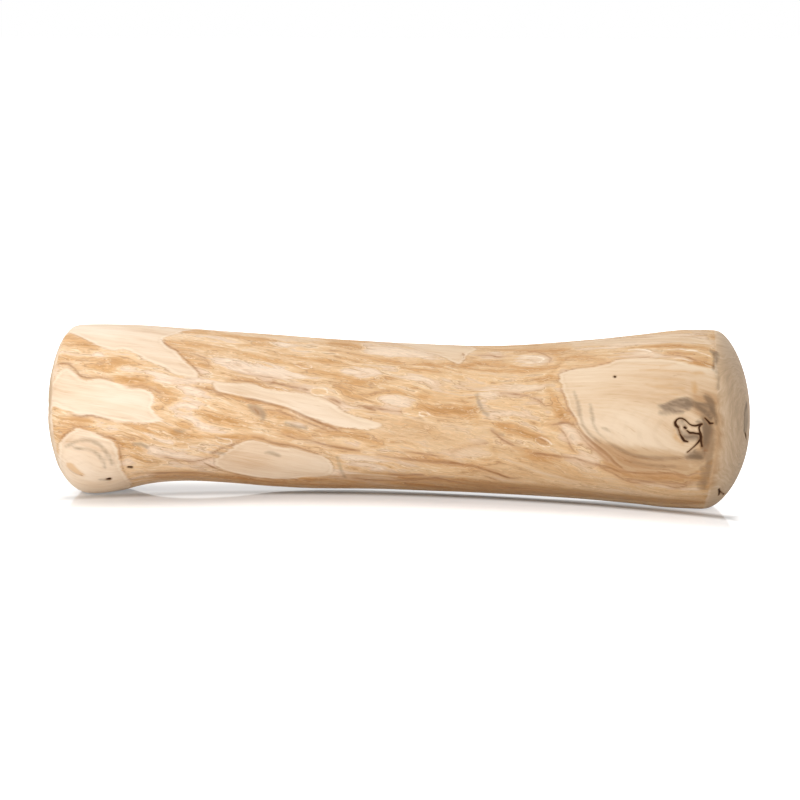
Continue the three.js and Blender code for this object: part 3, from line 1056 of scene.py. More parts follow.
@dataclass
class HiddenFigure:
    """Marks for the back, the underside and the far side of the top, drawn by rule.

    Attributes:
        seed: Seed of the random draws.
        low: Lowest angle that they start from, in degrees up from the front.
        high: Highest such angle.
        plan: What is drawn, as (layer, count, usual length, usual half width), in millimetres.
    """

    seed: int = 11
    low: float = 98.0
    high: float = 283.0
    plan: tuple[tuple[Layer, int, float, float], ...] = (
        (Layer.OCHRE, 46, 22, 0.9),
        (Layer.BROWN, 50, 24, 0.22),
        (Layer.PALE, 24, 18, 1.3),
        (Layer.LIGHT, 16, 10, 0.16),
        (Layer.STAIN, 8, 7, 0.5),
    )
    margin = 4.0  # how much of each end is left free, in millimetres
    fits = 0.6  # share of a streak's length that fits before the right end
    length_spread, width_spread = (0.5, 1.6), (0.6, 1.5)  # least and greatest share of the usual
    points, sway = 5, 0.9  # how many points a streak has, and how far they stray across the grain
    taper = 0.75  # share of the half width that its tips lose

    def streak(self, draw: np.random.Generator, layer: Layer, length: float, width: float) -> Streak:
        """Draws one streak along the grain.

        Args:
            draw: The random draws.
            layer: What it is made of.
            length: Its usual length, in millimetres.
            width: Its usual half width.

        Returns:
            The streak.
        """
        last = LENGTH - self.margin
        span = length * draw.uniform(*self.length_spread)
        start = draw.uniform(self.margin, last - span * self.fits)
        turn = draw.uniform(self.low, self.high)
        fat = width * draw.uniform(*self.width_spread)
        sway = draw.uniform(-1, 1, self.points) * self.sway
        nodes = []
        for share, offset in zip(np.linspace(0, 1, self.points), sway):
            at = min(start + share * span, last)
            drop = math.degrees((GRAIN_DROP * share * span + offset) / GIRTH_RADIUS)
            half = fat * (1 - self.taper + self.taper * math.sin(math.pi * share))
            nodes.append((at, turn - drop, half))
        return Streak(f"{layer.value} streak", layer, hidden=tuple(nodes))

    def marks(self) -> list[Streak]:
        """Draws all the marks.

        Returns:
            The marks.
        """
        draw = np.random.default_rng(self.seed)
        return [
            self.streak(draw, layer, length, width)
            for layer, count, length, width in self.plan
            for _ in range(count)
        ]


def placed_marks() -> list[Patch | Streak]:
    """Gathers the listed marks.

    Returns:
        The patches and streaks of every layer.
    """
    marks: list[Patch | Streak] = []
    for layer in Layer:
        seen, hidden = SEEN_OUTLINES[layer], HIDDEN_OUTLINES[layer]
        for name in {**seen, **hidden}:
            marks.append(Patch(name, layer, seen.get(name, ()), hidden.get(name, ())))
        for place, paths in SEEN_PATHS[layer].items():
            marks += [Streak(f"{layer.value} streak of the {place}", layer, seen=path) for path in paths]
        for place, paths in HIDDEN_PATHS[layer].items():
            marks += [Streak(f"{layer.value} streak of the {place}", layer, hidden=path) for path in paths]
    for eye in EYES:
        marks += eye.streaks()
    return marks


@dataclass
class Skin:
    """The fine surface of the whole stick.

    Attributes:
        columns: Faces round it.
        rows: Faces along it, from tip to tip.
        end_rows: Rows that cover each end.
        end_reach: How much of the length an end takes, in millimetres.
        front_crowding: Share by which columns are closer at the front.
        right_crowding: Share by which rows are closer towards the knot.
        rim_crowding: Share by which the rows of an end are closer at its rim.
        crack_margins: How far the finer faces reach from a crack, in millimetres, each time they are split.
    """

    columns: int = 224
    rows: int = 352
    end_rows: int = 54
    end_reach: float = 24.0
    front_crowding: float = 0.25
    right_crowding: float = 0.2
    rim_crowding: float = 0.35
    crack_margins: tuple[float, ...] = (1.4, 0.9)

    def place(self, share: float) -> tuple[float, float]:
        """Says where a row of faces starts from on the middle line and how it leans.

        Args:
            share: The row's share of the way from the left tip to the right tip.

        Returns:
            The place in millimetres from the left tip, and the lean in radians.
        """
        end = self.end_rows / self.rows
        if share < end or share > 1 - end:
            inwards = min(share, 1 - share) / end
            swing = inwards + self.rim_crowding / (2 * math.pi) * math.sin(2 * math.pi * inwards)
            lean = (math.pi / 2) * (1 - swing)
            return (self.end_reach, -lean) if share < 0.5 else (LENGTH - self.end_reach, lean)
        way = (share - end) / (1 - 2 * end)
        eased = way * (1 + self.right_crowding - self.right_crowding * way)
        return self.end_reach + eased * (LENGTH - 2 * self.end_reach), 0.0

    def lay(self, stick: Stick) -> bmesh.types.BMesh:
        """Makes the grid of faces and lays it on the stick.

        Args:
            stick: The smoothed solid.

        Returns:
            The grid.
        """
        grid = bmesh.new()
        bmesh.ops.create_uvsphere(grid, u_segments=self.columns, v_segments=self.rows, radius=1)
        for vert in grid.verts:
            share = math.acos(max(-1.0, min(1.0, -vert.co.z))) / math.pi
            round_it = math.atan2(vert.co.y, vert.co.x)
            turn = round_it - self.front_crowding * math.sin(round_it)
            at, lean = self.place(share)
            vert.co = stick.cast(stick.tip + at * MM, turn, lean)
        bmesh.ops.recalc_face_normals(grid, faces=grid.faces)
        return grid

    def refine(self, grid: bmesh.types.BMesh, stick: Stick, figure: Figure, cracks: list[Streak]) -> None:
        """Makes the faces near the cracks finer.

        Args:
            grid: The grid of faces.
            stick: The smoothed solid.
            figure: Measures the distance to the cracks.
            cracks: The cracks and pits.
        """
        for margin in self.crack_margins:
            points = np.array([vert.co for vert in grid.verts])
            near = figure.measure(points, cracks)
            distance = np.minimum(near[Layer.CRACK], near[Layer.PIT])
            grid.verts.index_update()
            inside = distance < margin
            close = [edge for edge in grid.edges if all(inside[vert.index] for vert in edge.verts)]
            made = bmesh.ops.subdivide_edges(grid, edges=close, cuts=1, use_grid_fill=True)
            for item in made["geom_inner"]:
                if isinstance(item, bmesh.types.BMVert):
                    item.co = stick.tree.find_nearest(item.co)[0]
        bmesh.ops.recalc_face_normals(grid, faces=grid.faces)


def smoothstep(low: float, high: float, value: np.ndarray) -> np.ndarray:
    """Rises smoothly from 0 at low to 1 at high; low may be the larger."""
    share = np.clip((value - low) / (high - low), 0, 1)
    return share * share * (3 - 2 * share)


def linear(code: str) -> tuple[float, float, float, float]:
    """Turns a colour code into the numbers that a shader takes, by the sRGB curve.

    Args:
        code: The code, such as #F3DBB6.

    Returns:
        Its red, green, blue and alpha.
    """
    parts = [int(code[i : i + 2], 16) / 255 for i in (1, 3, 5)]
    curved = [part / 12.92 if part <= 0.04045 else ((part + 0.055) / 1.055) ** 2.4 for part in parts]
    return *curved, 1.0


@dataclass(frozen=True)
class Socket:
    """A named socket of a node group."""

    name: str
    kind: str = "NodeSocketFloat"
    value: float = 0.0


@dataclass(frozen=True)
class Grain:
    """Noise that is drawn out along the grain.

    Attributes:
        along: Size of a feature along the grain, in millimetres.
        across: Size of a feature across it.
        detail: How many finer layers are added.
        rough: How strong they are.
    """

    along: float
    across: float
    detail: float = 2.0
    rough: float = 0.5


class Graph:
    """Adds nodes to one node tree and links them."""

    def __init__(self, tree: bpy.types.NodeTree) -> None:
        """Keeps the tree."""
        self.tree = tree

    def feed(self, socket: bpy.types.NodeSocket, value: object) -> None:
        """Links or sets a node's input.

        Args:
            socket: The input.
            value: An output to link it to, a value to set it to, or None to leave it.
        """
        if isinstance(value, bpy.types.NodeSocket):
            self.tree.links.new(value, socket)
        elif value is not None:
            socket.default_value = value

    def add(
        self, kind: str, feeds: dict[int | str, object] | None = None, **settings: object
    ) -> bpy.types.Node:
        """Adds a node.

        Args:
            kind: Its type.
            feeds: What its inputs get, by their index or name.
            settings: Its properties.

        Returns:
            The node.
        """
        node = self.tree.nodes.new(kind)
        for name, value in settings.items():
            setattr(node, name, value)
        for key, value in (feeds or {}).items():
            self.feed(node.inputs[key], value)
        return node

    def math(self, operation: str, *values: object) -> bpy.types.NodeSocket:
        """Works out a number from one, two or three others."""
        return self.add("ShaderNodeMath", dict(enumerate(values)), operation=operation).outputs[0]

    def times(self, first: object, second: object) -> bpy.types.NodeSocket:
        """Multiplies two numbers."""
        return self.math("MULTIPLY", first, second)

    def vector(self, operation: str, *values: object) -> bpy.types.NodeSocket:
        """Works out a vector from others."""
        return self.add("ShaderNodeVectorMath", dict(enumerate(values)), operation=operation).outputs[0]

    def parts(self, vector: object) -> Sequence[bpy.types.NodeSocket]:
        """Gives a vector's x, y and z."""
        return self.add("ShaderNodeSeparateXYZ", {0: vector}).outputs

    def total(self, *parts: tuple[object, float]) -> bpy.types.NodeSocket:
        """Adds numbers up, each times its share.

        Args:
            parts: Pairs of an output and its share.

        Returns:
            The sum's output.
        """
        result: object = 0.0
        for value, share in parts:
            result = self.math("MULTIPLY_ADD", value, share, result)
        return result

    def step(self, value: object, low: float, high: float) -> bpy.types.NodeSocket:
        """Rises smoothly from 0 at low to 1 at high; low may be the larger.

        Args:
            value: The number that it follows.
            low: Where it starts.
            high: Where it ends.

        Returns:
            The output, from 0 to 1.
        """
        feeds = {"Value": value, "From Min": low, "From Max": high}
        return self.add("ShaderNodeMapRange", feeds, interpolation_type="SMOOTHSTEP").outputs[0]

    def ridge(self, value: object, middle: object, half_width: object) -> bpy.types.NodeSocket:
        """Makes a thin line where a number passes a level.

        Args:
            value: The number.
            middle: The level.
            half_width: How far from the level the line fades out.

        Returns:
            The line's mask.
        """
        away = self.math("ABSOLUTE", self.math("SUBTRACT", value, middle))
        feeds = {"Value": away, "From Min": 0.0, "From Max": half_width, "To Min": 1.0, "To Max": 0.0}
        return self.add("ShaderNodeMapRange", feeds, interpolation_type="SMOOTHSTEP").outputs[0]

    def between(self, share: object, first: object, second: object) -> bpy.types.NodeSocket:
        """Gives a number that goes from the first to the second with the share."""
        return self.add("ShaderNodeMix", {0: share, 2: first, 3: second}).outputs[0]

    def mix(self, share: object, first: object, second: object, blend: str = "MIX") -> bpy.types.NodeSocket:
        """Mixes two colours.

        Args:
            share: Share of the second.
            first: The first colour.
            second: The second colour.
            blend: How they are mixed.

        Returns:
            The colour's output.
        """
        node = self.add("ShaderNodeMix", {0: share, 6: first, 7: second}, data_type="RGBA", blend_type=blend)
        return node.outputs[2]

    def tint(
        self, colour: object, mask: object, cover: object, code: str, blend: str = "MIX"
    ) -> bpy.types.NodeSocket:
        """Lays a plain colour over another.

        Args:
            colour: The colour below.
            mask: Where the plain one goes.
            cover: How strongly it covers there.
            code: Its colour code.
            blend: How they are mixed.

        Returns:
            The colour's output.
        """
        return self.mix(self.times(mask, cover), colour, linear(code), blend)

    def ramp(self, value: object, stops: Sequence[tuple[float, str]]) -> bpy.types.NodeSocket:
        """Turns a number into a colour.

        Args:
            value: The number, from 0 to 1.
            stops: Pairs of a number and its colour code.

        Returns:
            The colour's output.
        """
        node = self.add("ShaderNodeValToRGB", {0: value})
        elements = node.color_ramp.elements
        while len(elements) < len(stops):
            elements.new(0.5)
        for element, (place, code) in zip(elements, stops):
            element.position = place
            element.color = linear(code)
        return node.outputs[0]

    def grey(self, value: object) -> bpy.types.NodeSocket:
        """Makes a grey of a brightness."""
        return self.add("ShaderNodeCombineColor", {0: value, 1: value, 2: value}).outputs[0]

    def attribute(self, name: str, output: str = "Fac") -> bpy.types.NodeSocket:
        """Reads an attribute of the skin."""
        return self.add("ShaderNodeAttribute", attribute_name=name).outputs[output]

    def texture(
        self, place: object, scale: float, detail: float = 3.0, rough: float = 0.5, output: int = 0
    ) -> bpy.types.NodeSocket:
        """Makes noise of even size.

        Args:
            place: The place that it is read at.
            scale: How many features fit into one unit of the place.
            detail: How many finer layers are added.
            rough: How strong they are.
            output: 0 for a number and 1 for a vector.

        Returns:
            The noise, from 0 to 1.
        """
        feeds = {"Vector": place, "Scale": scale, "Detail": detail, "Roughness": rough}
        return self.add("ShaderNodeTexNoise", feeds).outputs[output]

    def noise(self, place: object, grain: Grain, output: int = 0) -> bpy.types.NodeSocket:
        """Makes noise that is drawn out along the grain.

        Args:
            place: The place in the grain, in millimetres.
            grain: Its size and detail.
            output: 0 for a number and 1 for a vector.

        Returns:
            The noise, from 0 to 1.
        """
        scaled = self.vector("MULTIPLY", place, (1 / grain.along, 1 / grain.across, 1 / grain.across))
        return self.texture(scaled, 1.0, grain.detail, grain.rough, output)


class Effect:
    """A shader node group with named sockets, built once and used wherever its effect is wanted."""

    title = "effect"
    takes: tuple[Socket, ...] = ()
    gives: tuple[Socket, ...] = ()

    def __init__(self) -> None:
        """Builds the group."""
        self.tree = bpy.data.node_groups.new(self.title, "ShaderNodeTree")
        for sockets, way in ((self.takes, "INPUT"), (self.gives, "OUTPUT")):
            for socket in sockets:
                made = self.tree.interface.new_socket(name=socket.name, in_out=way, socket_type=socket.kind)
                if way == "INPUT" and socket.kind == "NodeSocketFloat":
                    made.default_value = socket.value
        graph = Graph(self.tree)
        taken = graph.add("NodeGroupInput").outputs
        results = self.draw(graph, {socket.name: taken[socket.name] for socket in self.takes})
        graph.add("NodeGroupOutput", dict(results))

    def draw(self, graph: Graph, taken: dict[str, bpy.types.NodeSocket]) -> dict[str, bpy.types.NodeSocket]:
        """Adds the group's nodes.

        Args:
            graph: The group's graph.
            taken: The group's inputs, by name.

        Returns:
            What each of its outputs gives, by name.
        """
        raise NotImplementedError

    def use(self, graph: Graph, **feeds: object) -> dict[str, bpy.types.NodeSocket]:
        """Places the effect in a graph.

        Args:
            graph: The graph.
            feeds: What its inputs get, by name.

        Returns:
            Its outputs, by name.
        """
        node = graph.add("ShaderNodeGroup", node_tree=self.tree)
        for name, value in feeds.items():
            graph.feed(node.inputs[name], value)
        return {socket.name: node.outputs[socket.name] for socket in self.gives}


class PatchBorder(Effect):
    """The edge of a patch: an uneven outline, a dark line just outside it and a pale rim just inside."""

    title = "patch border"
    takes = (Socket("Distance"), Socket("Unevenness"), Socket("Reach", value=1.0), Socket("Soft", value=0.5))
    gives = (Socket("Inside"), Socket("Line"), Socket("Rim"))
    line_at, line_half = 0.2, 0.36
    rim_at, rim_half = -0.6, 0.6

    def draw(self, graph: Graph, taken: dict[str, bpy.types.NodeSocket]) -> dict[str, bpy.types.NodeSocket]:
        """Adds the group's nodes.

        Args:
            graph: The group's graph.
            taken: The group's inputs, by name.

        Returns:
            What each of its outputs gives, by name.
        """
        shift = graph.times(graph.math("SUBTRACT", taken["Unevenness"], 0.5), taken["Reach"])
        distance = graph.math("ADD", taken["Distance"], shift)
        return {
            "Inside": graph.step(distance, taken["Soft"], graph.times(taken["Soft"], -1.0)),
            "Line": graph.ridge(distance, self.line_at, self.line_half),
            "Rim": graph.ridge(distance, self.rim_at, self.rim_half),
        }


class Contours(Effect):
    """Thin broken lines where a field passes a level, as on a map."""

    title = "contours"
    takes = (Socket("Field"), Socket("Level", value=0.5), Socket("Width", value=0.02), Socket("Breaks"))
    gives = (Socket("Line"),)
    gap_edge = (0.42, 0.6)

    def draw(self, graph: Graph, taken: dict[str, bpy.types.NodeSocket]) -> dict[str, bpy.types.NodeSocket]:
        """Adds the group's nodes.

        Args:
            graph: The group's graph.
            taken: The group's inputs, by name.

        Returns:
            What each of its outputs gives, by name.
        """
        line = graph.ridge(taken["Field"], taken["Level"], taken["Width"])
        return {"Line": graph.times(line, graph.step(taken["Breaks"], *self.gap_edge))}


@dataclass(frozen=True)
class OuterTones:
    """The colours of the outer layer, from its greyest to its deepest."""

    white: str = "#E9D1B8"
    grey: str = "#DBBDA0"
    pale: str = "#E5C49C"
    tan: str = "#DBB68C"
    ochre: str = "#D1A472"
    deep: str = "#BE8E59"
    line: str = "#9C7150"
    light: str = "#EFDDC2"
    wash: str = "#DBBC98"


@dataclass(frozen=True)
class BareTones:
    """The colours of the bare wood under the outer layer."""

    light: str = "#E9D4BC"
    warm: str = "#E0C6A9"
    tan: str = "#D2B18F"
    deep: str = "#C69F77"
    ochre: str = "#CD9F69"
    ring: str = "#BC9F80"
    pore: str = "#B8926A"


@dataclass(frozen=True)
class EndTones:
    """The colours of the end grain."""

    light: str = "#D6BC9E"
    warm: str = "#C6A887"
    grey: str = "#AF967A"
    heart: str = "#8A7053"


class OuterLayer(Effect):
    """The outer layer: ochre and grey-white islands drawn out along the grain, with thin contour lines."""

    title = "outer layer"
    takes = (
        Socket("Flow", "NodeSocketVector"),
        Socket("Ochre", value=FAR),
        Socket("Pale", value=FAR),
        Socket("Wash", value=FAR),
    )
    gives = (Socket("Color", "NodeSocketColor"), Socket("Height"), Socket("Fine"), Socket("Medium"))
    tones = OuterTones()
    bends = Grain(14, 5, 3.0)
    bend_reach = (7, 5, 5)  # how far the bends push the figure, in millimetres
    aside = (40.0, 9.0, 3.0)  # where the second set of noises is read, so that it goes its own way
    broad, medium, fine = Grain(26, 4.4, 3.0), Grain(12, 1.6, 3.0), Grain(6, 0.34, 3.0, 0.6)
    breaks, threads, hairs = Grain(9, 2.5), Grain(20, 2.4, 4.0, 0.6), Grain(9, 0.22, 2.0, 0.6)
    island_edge = (3.7, 0.9)  # frayed distances at which an island starts and is full
    wash_edge = (2.4, -0.6)
    wash_cover = 0.48
    busy_share, calm_share = 0.52, -0.22  # how strong the fine figure is, and what a wash takes from it
    wide_line, thin_line = 0.03, 0.014  # half widths of the contour lines, as shares of the field
    dash_edge, dash_cover = (0.55, 0.68), 0.35
    hair_edge, hair_share, hair_base = (0.3, 0.75), 0.2, 0.9
    fleck_edge, fleck_cover = (0.44, 0.32), 0.6

    def draw(self, graph: Graph, taken: dict[str, bpy.types.NodeSocket]) -> dict[str, bpy.types.NodeSocket]:
        """Adds the group's nodes.

        Args:
            graph: The group's graph.
            taken: The group's inputs, by name.

        Returns:
            What each of its outputs gives, by name.
        """
        tones = self.tones
        bend = graph.vector("SUBTRACT", graph.noise(taken["Flow"], self.bends, output=1), (0.5, 0.5, 0.5))
        bent = graph.vector("ADD", taken["Flow"], graph.vector("MULTIPLY", bend, self.bend_reach))
        aside = graph.vector("ADD", bent, self.aside)
        broad = graph.noise(bent, self.broad)
        medium = graph.noise(bent, self.medium)
        fine = graph.noise(bent, self.fine)
        breaks = graph.noise(aside, self.breaks)
        threads = graph.noise(aside, self.threads)
        hairs = graph.noise(aside, self.hairs)
        ochre, pale = (
            graph.step(graph.total((taken[name], 1.0), (medium, 3.4), (fine, 1.0)), *self.island_edge)
            for name in ("Ochre", "Pale")
        )
        wash = graph.step(graph.total((taken["Wash"], 1.0), (breaks, 2.0)), *self.wash_edge)
        level = graph.total((broad, 1.1), (medium, 0.7), (fine, 0.14), (ochre, 0.22), (pale, -0.2))
        level = graph.math("ADD", level, -0.47)
        stops = (
            (0.26, tones.white), (0.38, tones.grey), (0.44, tones.pale), (0.54, tones.tan),
            (0.68, tones.ochre), (0.84, tones.deep),
        )
        colour = graph.tint(graph.ramp(level, stops), wash, self.wash_cover, tones.wash)
        busy = graph.math("MULTIPLY_ADD", wash, self.calm_share, self.busy_share)
        contours = Contours()

        def contour(field_: object, at: float, width: float, gaps: object) -> bpy.types.NodeSocket:
            """Draws the contour lines of a field at one level."""
            return contours.use(graph, Field=field_, Level=at, Width=width, Breaks=gaps)["Line"]

        low = contour(level, 0.42, self.wide_line, breaks)
        high = contour(level, 0.62, self.wide_line, medium)
        thread = contour(threads, 0.5, self.thin_line, broad)
        line = graph.math("MAXIMUM", graph.math("MAXIMUM", low, high), thread)
        colour = graph.tint(colour, line, busy, tones.line)
        thread = contour(threads, 0.47, self.thin_line, broad)
        glints = graph.math("MAXIMUM", thread, contour(level, 0.46, self.wide_line, breaks))
        colour = graph.tint(colour, glints, busy, tones.light)
        dashes = graph.times(graph.step(fine, *self.dash_edge), busy)
        colour = graph.tint(colour, dashes, self.dash_cover, tones.line)
        hairs = graph.step(hairs, *self.hair_edge)
        shades = graph.math("MULTIPLY_ADD", hairs, self.hair_share, self.hair_base)
        colour = graph.mix(1.0, colour, graph.grey(shades), "MULTIPLY")
        flecks = graph.times(graph.step(fine, *self.fleck_edge), busy)
        colour = graph.tint(colour, flecks, self.fleck_cover, tones.light)
        height = graph.total((fine, 0.35), (level, 0.3), (line, -0.35))
        return {"Color": colour, "Height": height, "Fine": fine, "Medium": medium}


class BareWood(Effect):
    """Bare cream wood: soft tone changes, faint rings that follow its border and the knots, and pores."""

    title = "bare wood"
    takes = (
        Socket("Flow", "NodeSocketVector"),
        Socket("Depth", value=-1.0),
        Socket("Knot", value=50.0),
        Socket("Ochre", value=FAR),
    )
    gives = (Socket("Color", "NodeSocketColor"), Socket("Height"))
    tones = BareTones()
    broad, medium, fine = Grain(34, 6), Grain(16, 1.3, 5.0, 0.65), Grain(5, 0.26, 2.0, 0.6)
    border_edge = (-3.0, 0.2)
    ring_reach, knot_reach = (-5.0, -0.4), (24.0, 5.0)  # distances at which rings start and are full
    ring_gaps, ring_cover = (0.35, 0.6), 0.14
    ochre_edge, ochre_cover = (2.5, 1.3), 0.66
    pore_edge, pore_cover = (0.64, 0.78), 0.35

    def draw(self, graph: Graph, taken: dict[str, bpy.types.NodeSocket]) -> dict[str, bpy.types.NodeSocket]:
        """Adds the group's nodes.

        Args:
            graph: The group's graph.
            taken: The group's inputs, by name.

        Returns:
            What each of its outputs gives, by name.
        """
        tones = self.tones
        flow = taken["Flow"]
        broad, medium, fine = (graph.noise(flow, grain) for grain in (self.broad, self.medium, self.fine))
        by_border = graph.step(taken["Depth"], *self.border_edge)
        tone = graph.total((broad, 0.7), (medium, 0.5), (by_border, 0.06), (fine, 0.26))
        stops = ((0.3, tones.light), (0.5, tones.warm), (0.68, tones.tan), (0.84, tones.deep))
        colour = graph.ramp(graph.math("ADD", tone, -0.28), stops)
        wave = graph.math("SINE", graph.total((taken["Depth"], 3.4), (broad, 9.0), (medium, 4.0)))
        ring = graph.times(graph.step(wave, 0.2, 1.0), graph.step(taken["Depth"], *self.ring_reach))
        knot_wave = graph.math("SINE", graph.total((taken["Knot"], 2.6), (broad, 7.0), (medium, 3.0)))
        knot_ring = graph.times(graph.step(knot_wave, 0.1, 1.0), graph.step(taken["Knot"], *self.knot_reach))
        rings = graph.times(graph.math("MAXIMUM", ring, knot_ring), graph.step(medium, *self.ring_gaps))
        colour = graph.tint(colour, rings, self.ring_cover, tones.ring)
        marked = graph.step(graph.total((taken["Ochre"], 1.0), (medium, 2.0), (fine, 1.8)), *self.ochre_edge)
        colour = graph.tint(colour, marked, self.ochre_cover, tones.ochre)
        pores = graph.step(fine, *self.pore_edge)
        colour = graph.tint(colour, pores, self.pore_cover, tones.pore)
        return {"Color": colour, "Height": graph.total((fine, 0.12), (pores, -0.2), (rings, -0.08))}


class EndGrain(Effect):
    """End grain: uneven rings round a darker pith."""

    title = "end grain"
    takes = (Socket("Place", "NodeSocketVector"),)
    gives = (Socket("Color", "NodeSocketColor"), Socket("Height"))
    tones = EndTones()
    left_pith = (0.0, -3.0, 26.0)  # where the pith leaves the left end, in millimetres
    right_pith = (0.0, -13.0, 26.5)
    wander_scale, wander_reach = 70.0, 6.0  # features in a metre, and how far they push the rings
    blotch_scale = 45.0
    ring_scale, ring_turns = 1.4, 1.5  # rings in a millimetre, and how soon they change round the pith
    heart_edge, heart_cover = (5.2, 3.6), 0.45

    def draw(self, graph: Graph, taken: dict[str, bpy.types.NodeSocket]) -> dict[str, bpy.types.NodeSocket]:
        """Adds the group's nodes.

        Args:
            graph: The group's graph.
            taken: The group's inputs, by name.

        Returns:
            What each of its outputs gives, by name.
        """
        tones = self.tones
        place = graph.vector("DIVIDE", taken["Place"], (MM, MM, MM))
        feeds = {"Value": graph.parts(place)[0], "From Min": -LENGTH / 2, "From Max": LENGTH / 2}
        share = graph.add("ShaderNodeMapRange", feeds).outputs[0]
        feeds = {"Factor": share, 4: self.left_pith, 5: self.right_pith}
        pith = graph.add("ShaderNodeMix", feeds, data_type="VECTOR").outputs[1]
        _, across, up = graph.parts(graph.vector("SUBTRACT", place, pith))
        wander = graph.texture(taken["Place"], self.wander_scale)
        flat = graph.add("ShaderNodeCombineXYZ", {0: 0.0, 1: across, 2: up}).outputs[0]
        radius = graph.add("ShaderNodeVectorMath", {0: flat}, operation="LENGTH").outputs["Value"]
        radius = graph.total((radius, 1.0), (wander, self.wander_reach))
        angle = graph.times(graph.math("ARCTAN2", up, across), self.ring_turns)
        ringed = graph.add("ShaderNodeCombineXYZ", {0: radius, 1: angle, 2: 0.0}).outputs[0]
        rings = graph.texture(ringed, self.ring_scale, 4.0, 0.75)
        blotches = graph.texture(taken["Place"], self.blotch_scale)
        tone = graph.total((rings, 0.6), (blotches, 0.55))
        colour = graph.ramp(tone, ((0.42, tones.grey), (0.56, tones.warm), (0.7, tones.light)))
        colour = graph.tint(colour, graph.step(radius, *self.heart_edge), self.heart_cover, tones.heart)
        return {"Color": colour, "Height": graph.total((rings, 0.2), (wander, 0.1))}


@dataclass(frozen=True)
class MarkTone:
    """How the marks of one layer colour the wood.

    Attributes:
        layer: The marks.
        code: Their colour.
        fine: How far the fine grain frays their edge, in millimetres.
        medium: How far the medium grain does.
        edge: The frayed distances at which the colour starts and is full.
        cover: How strongly it covers.
        cover_change: How much the cover changes with what the finish goes by.
        blend: How it is mixed with the colour below.
    """

    layer: Layer
    code: str
    fine: float
    medium: float
    edge: tuple[float, float]
    cover: float
    cover_change: float = 0.0
    blend: str = "MIX"


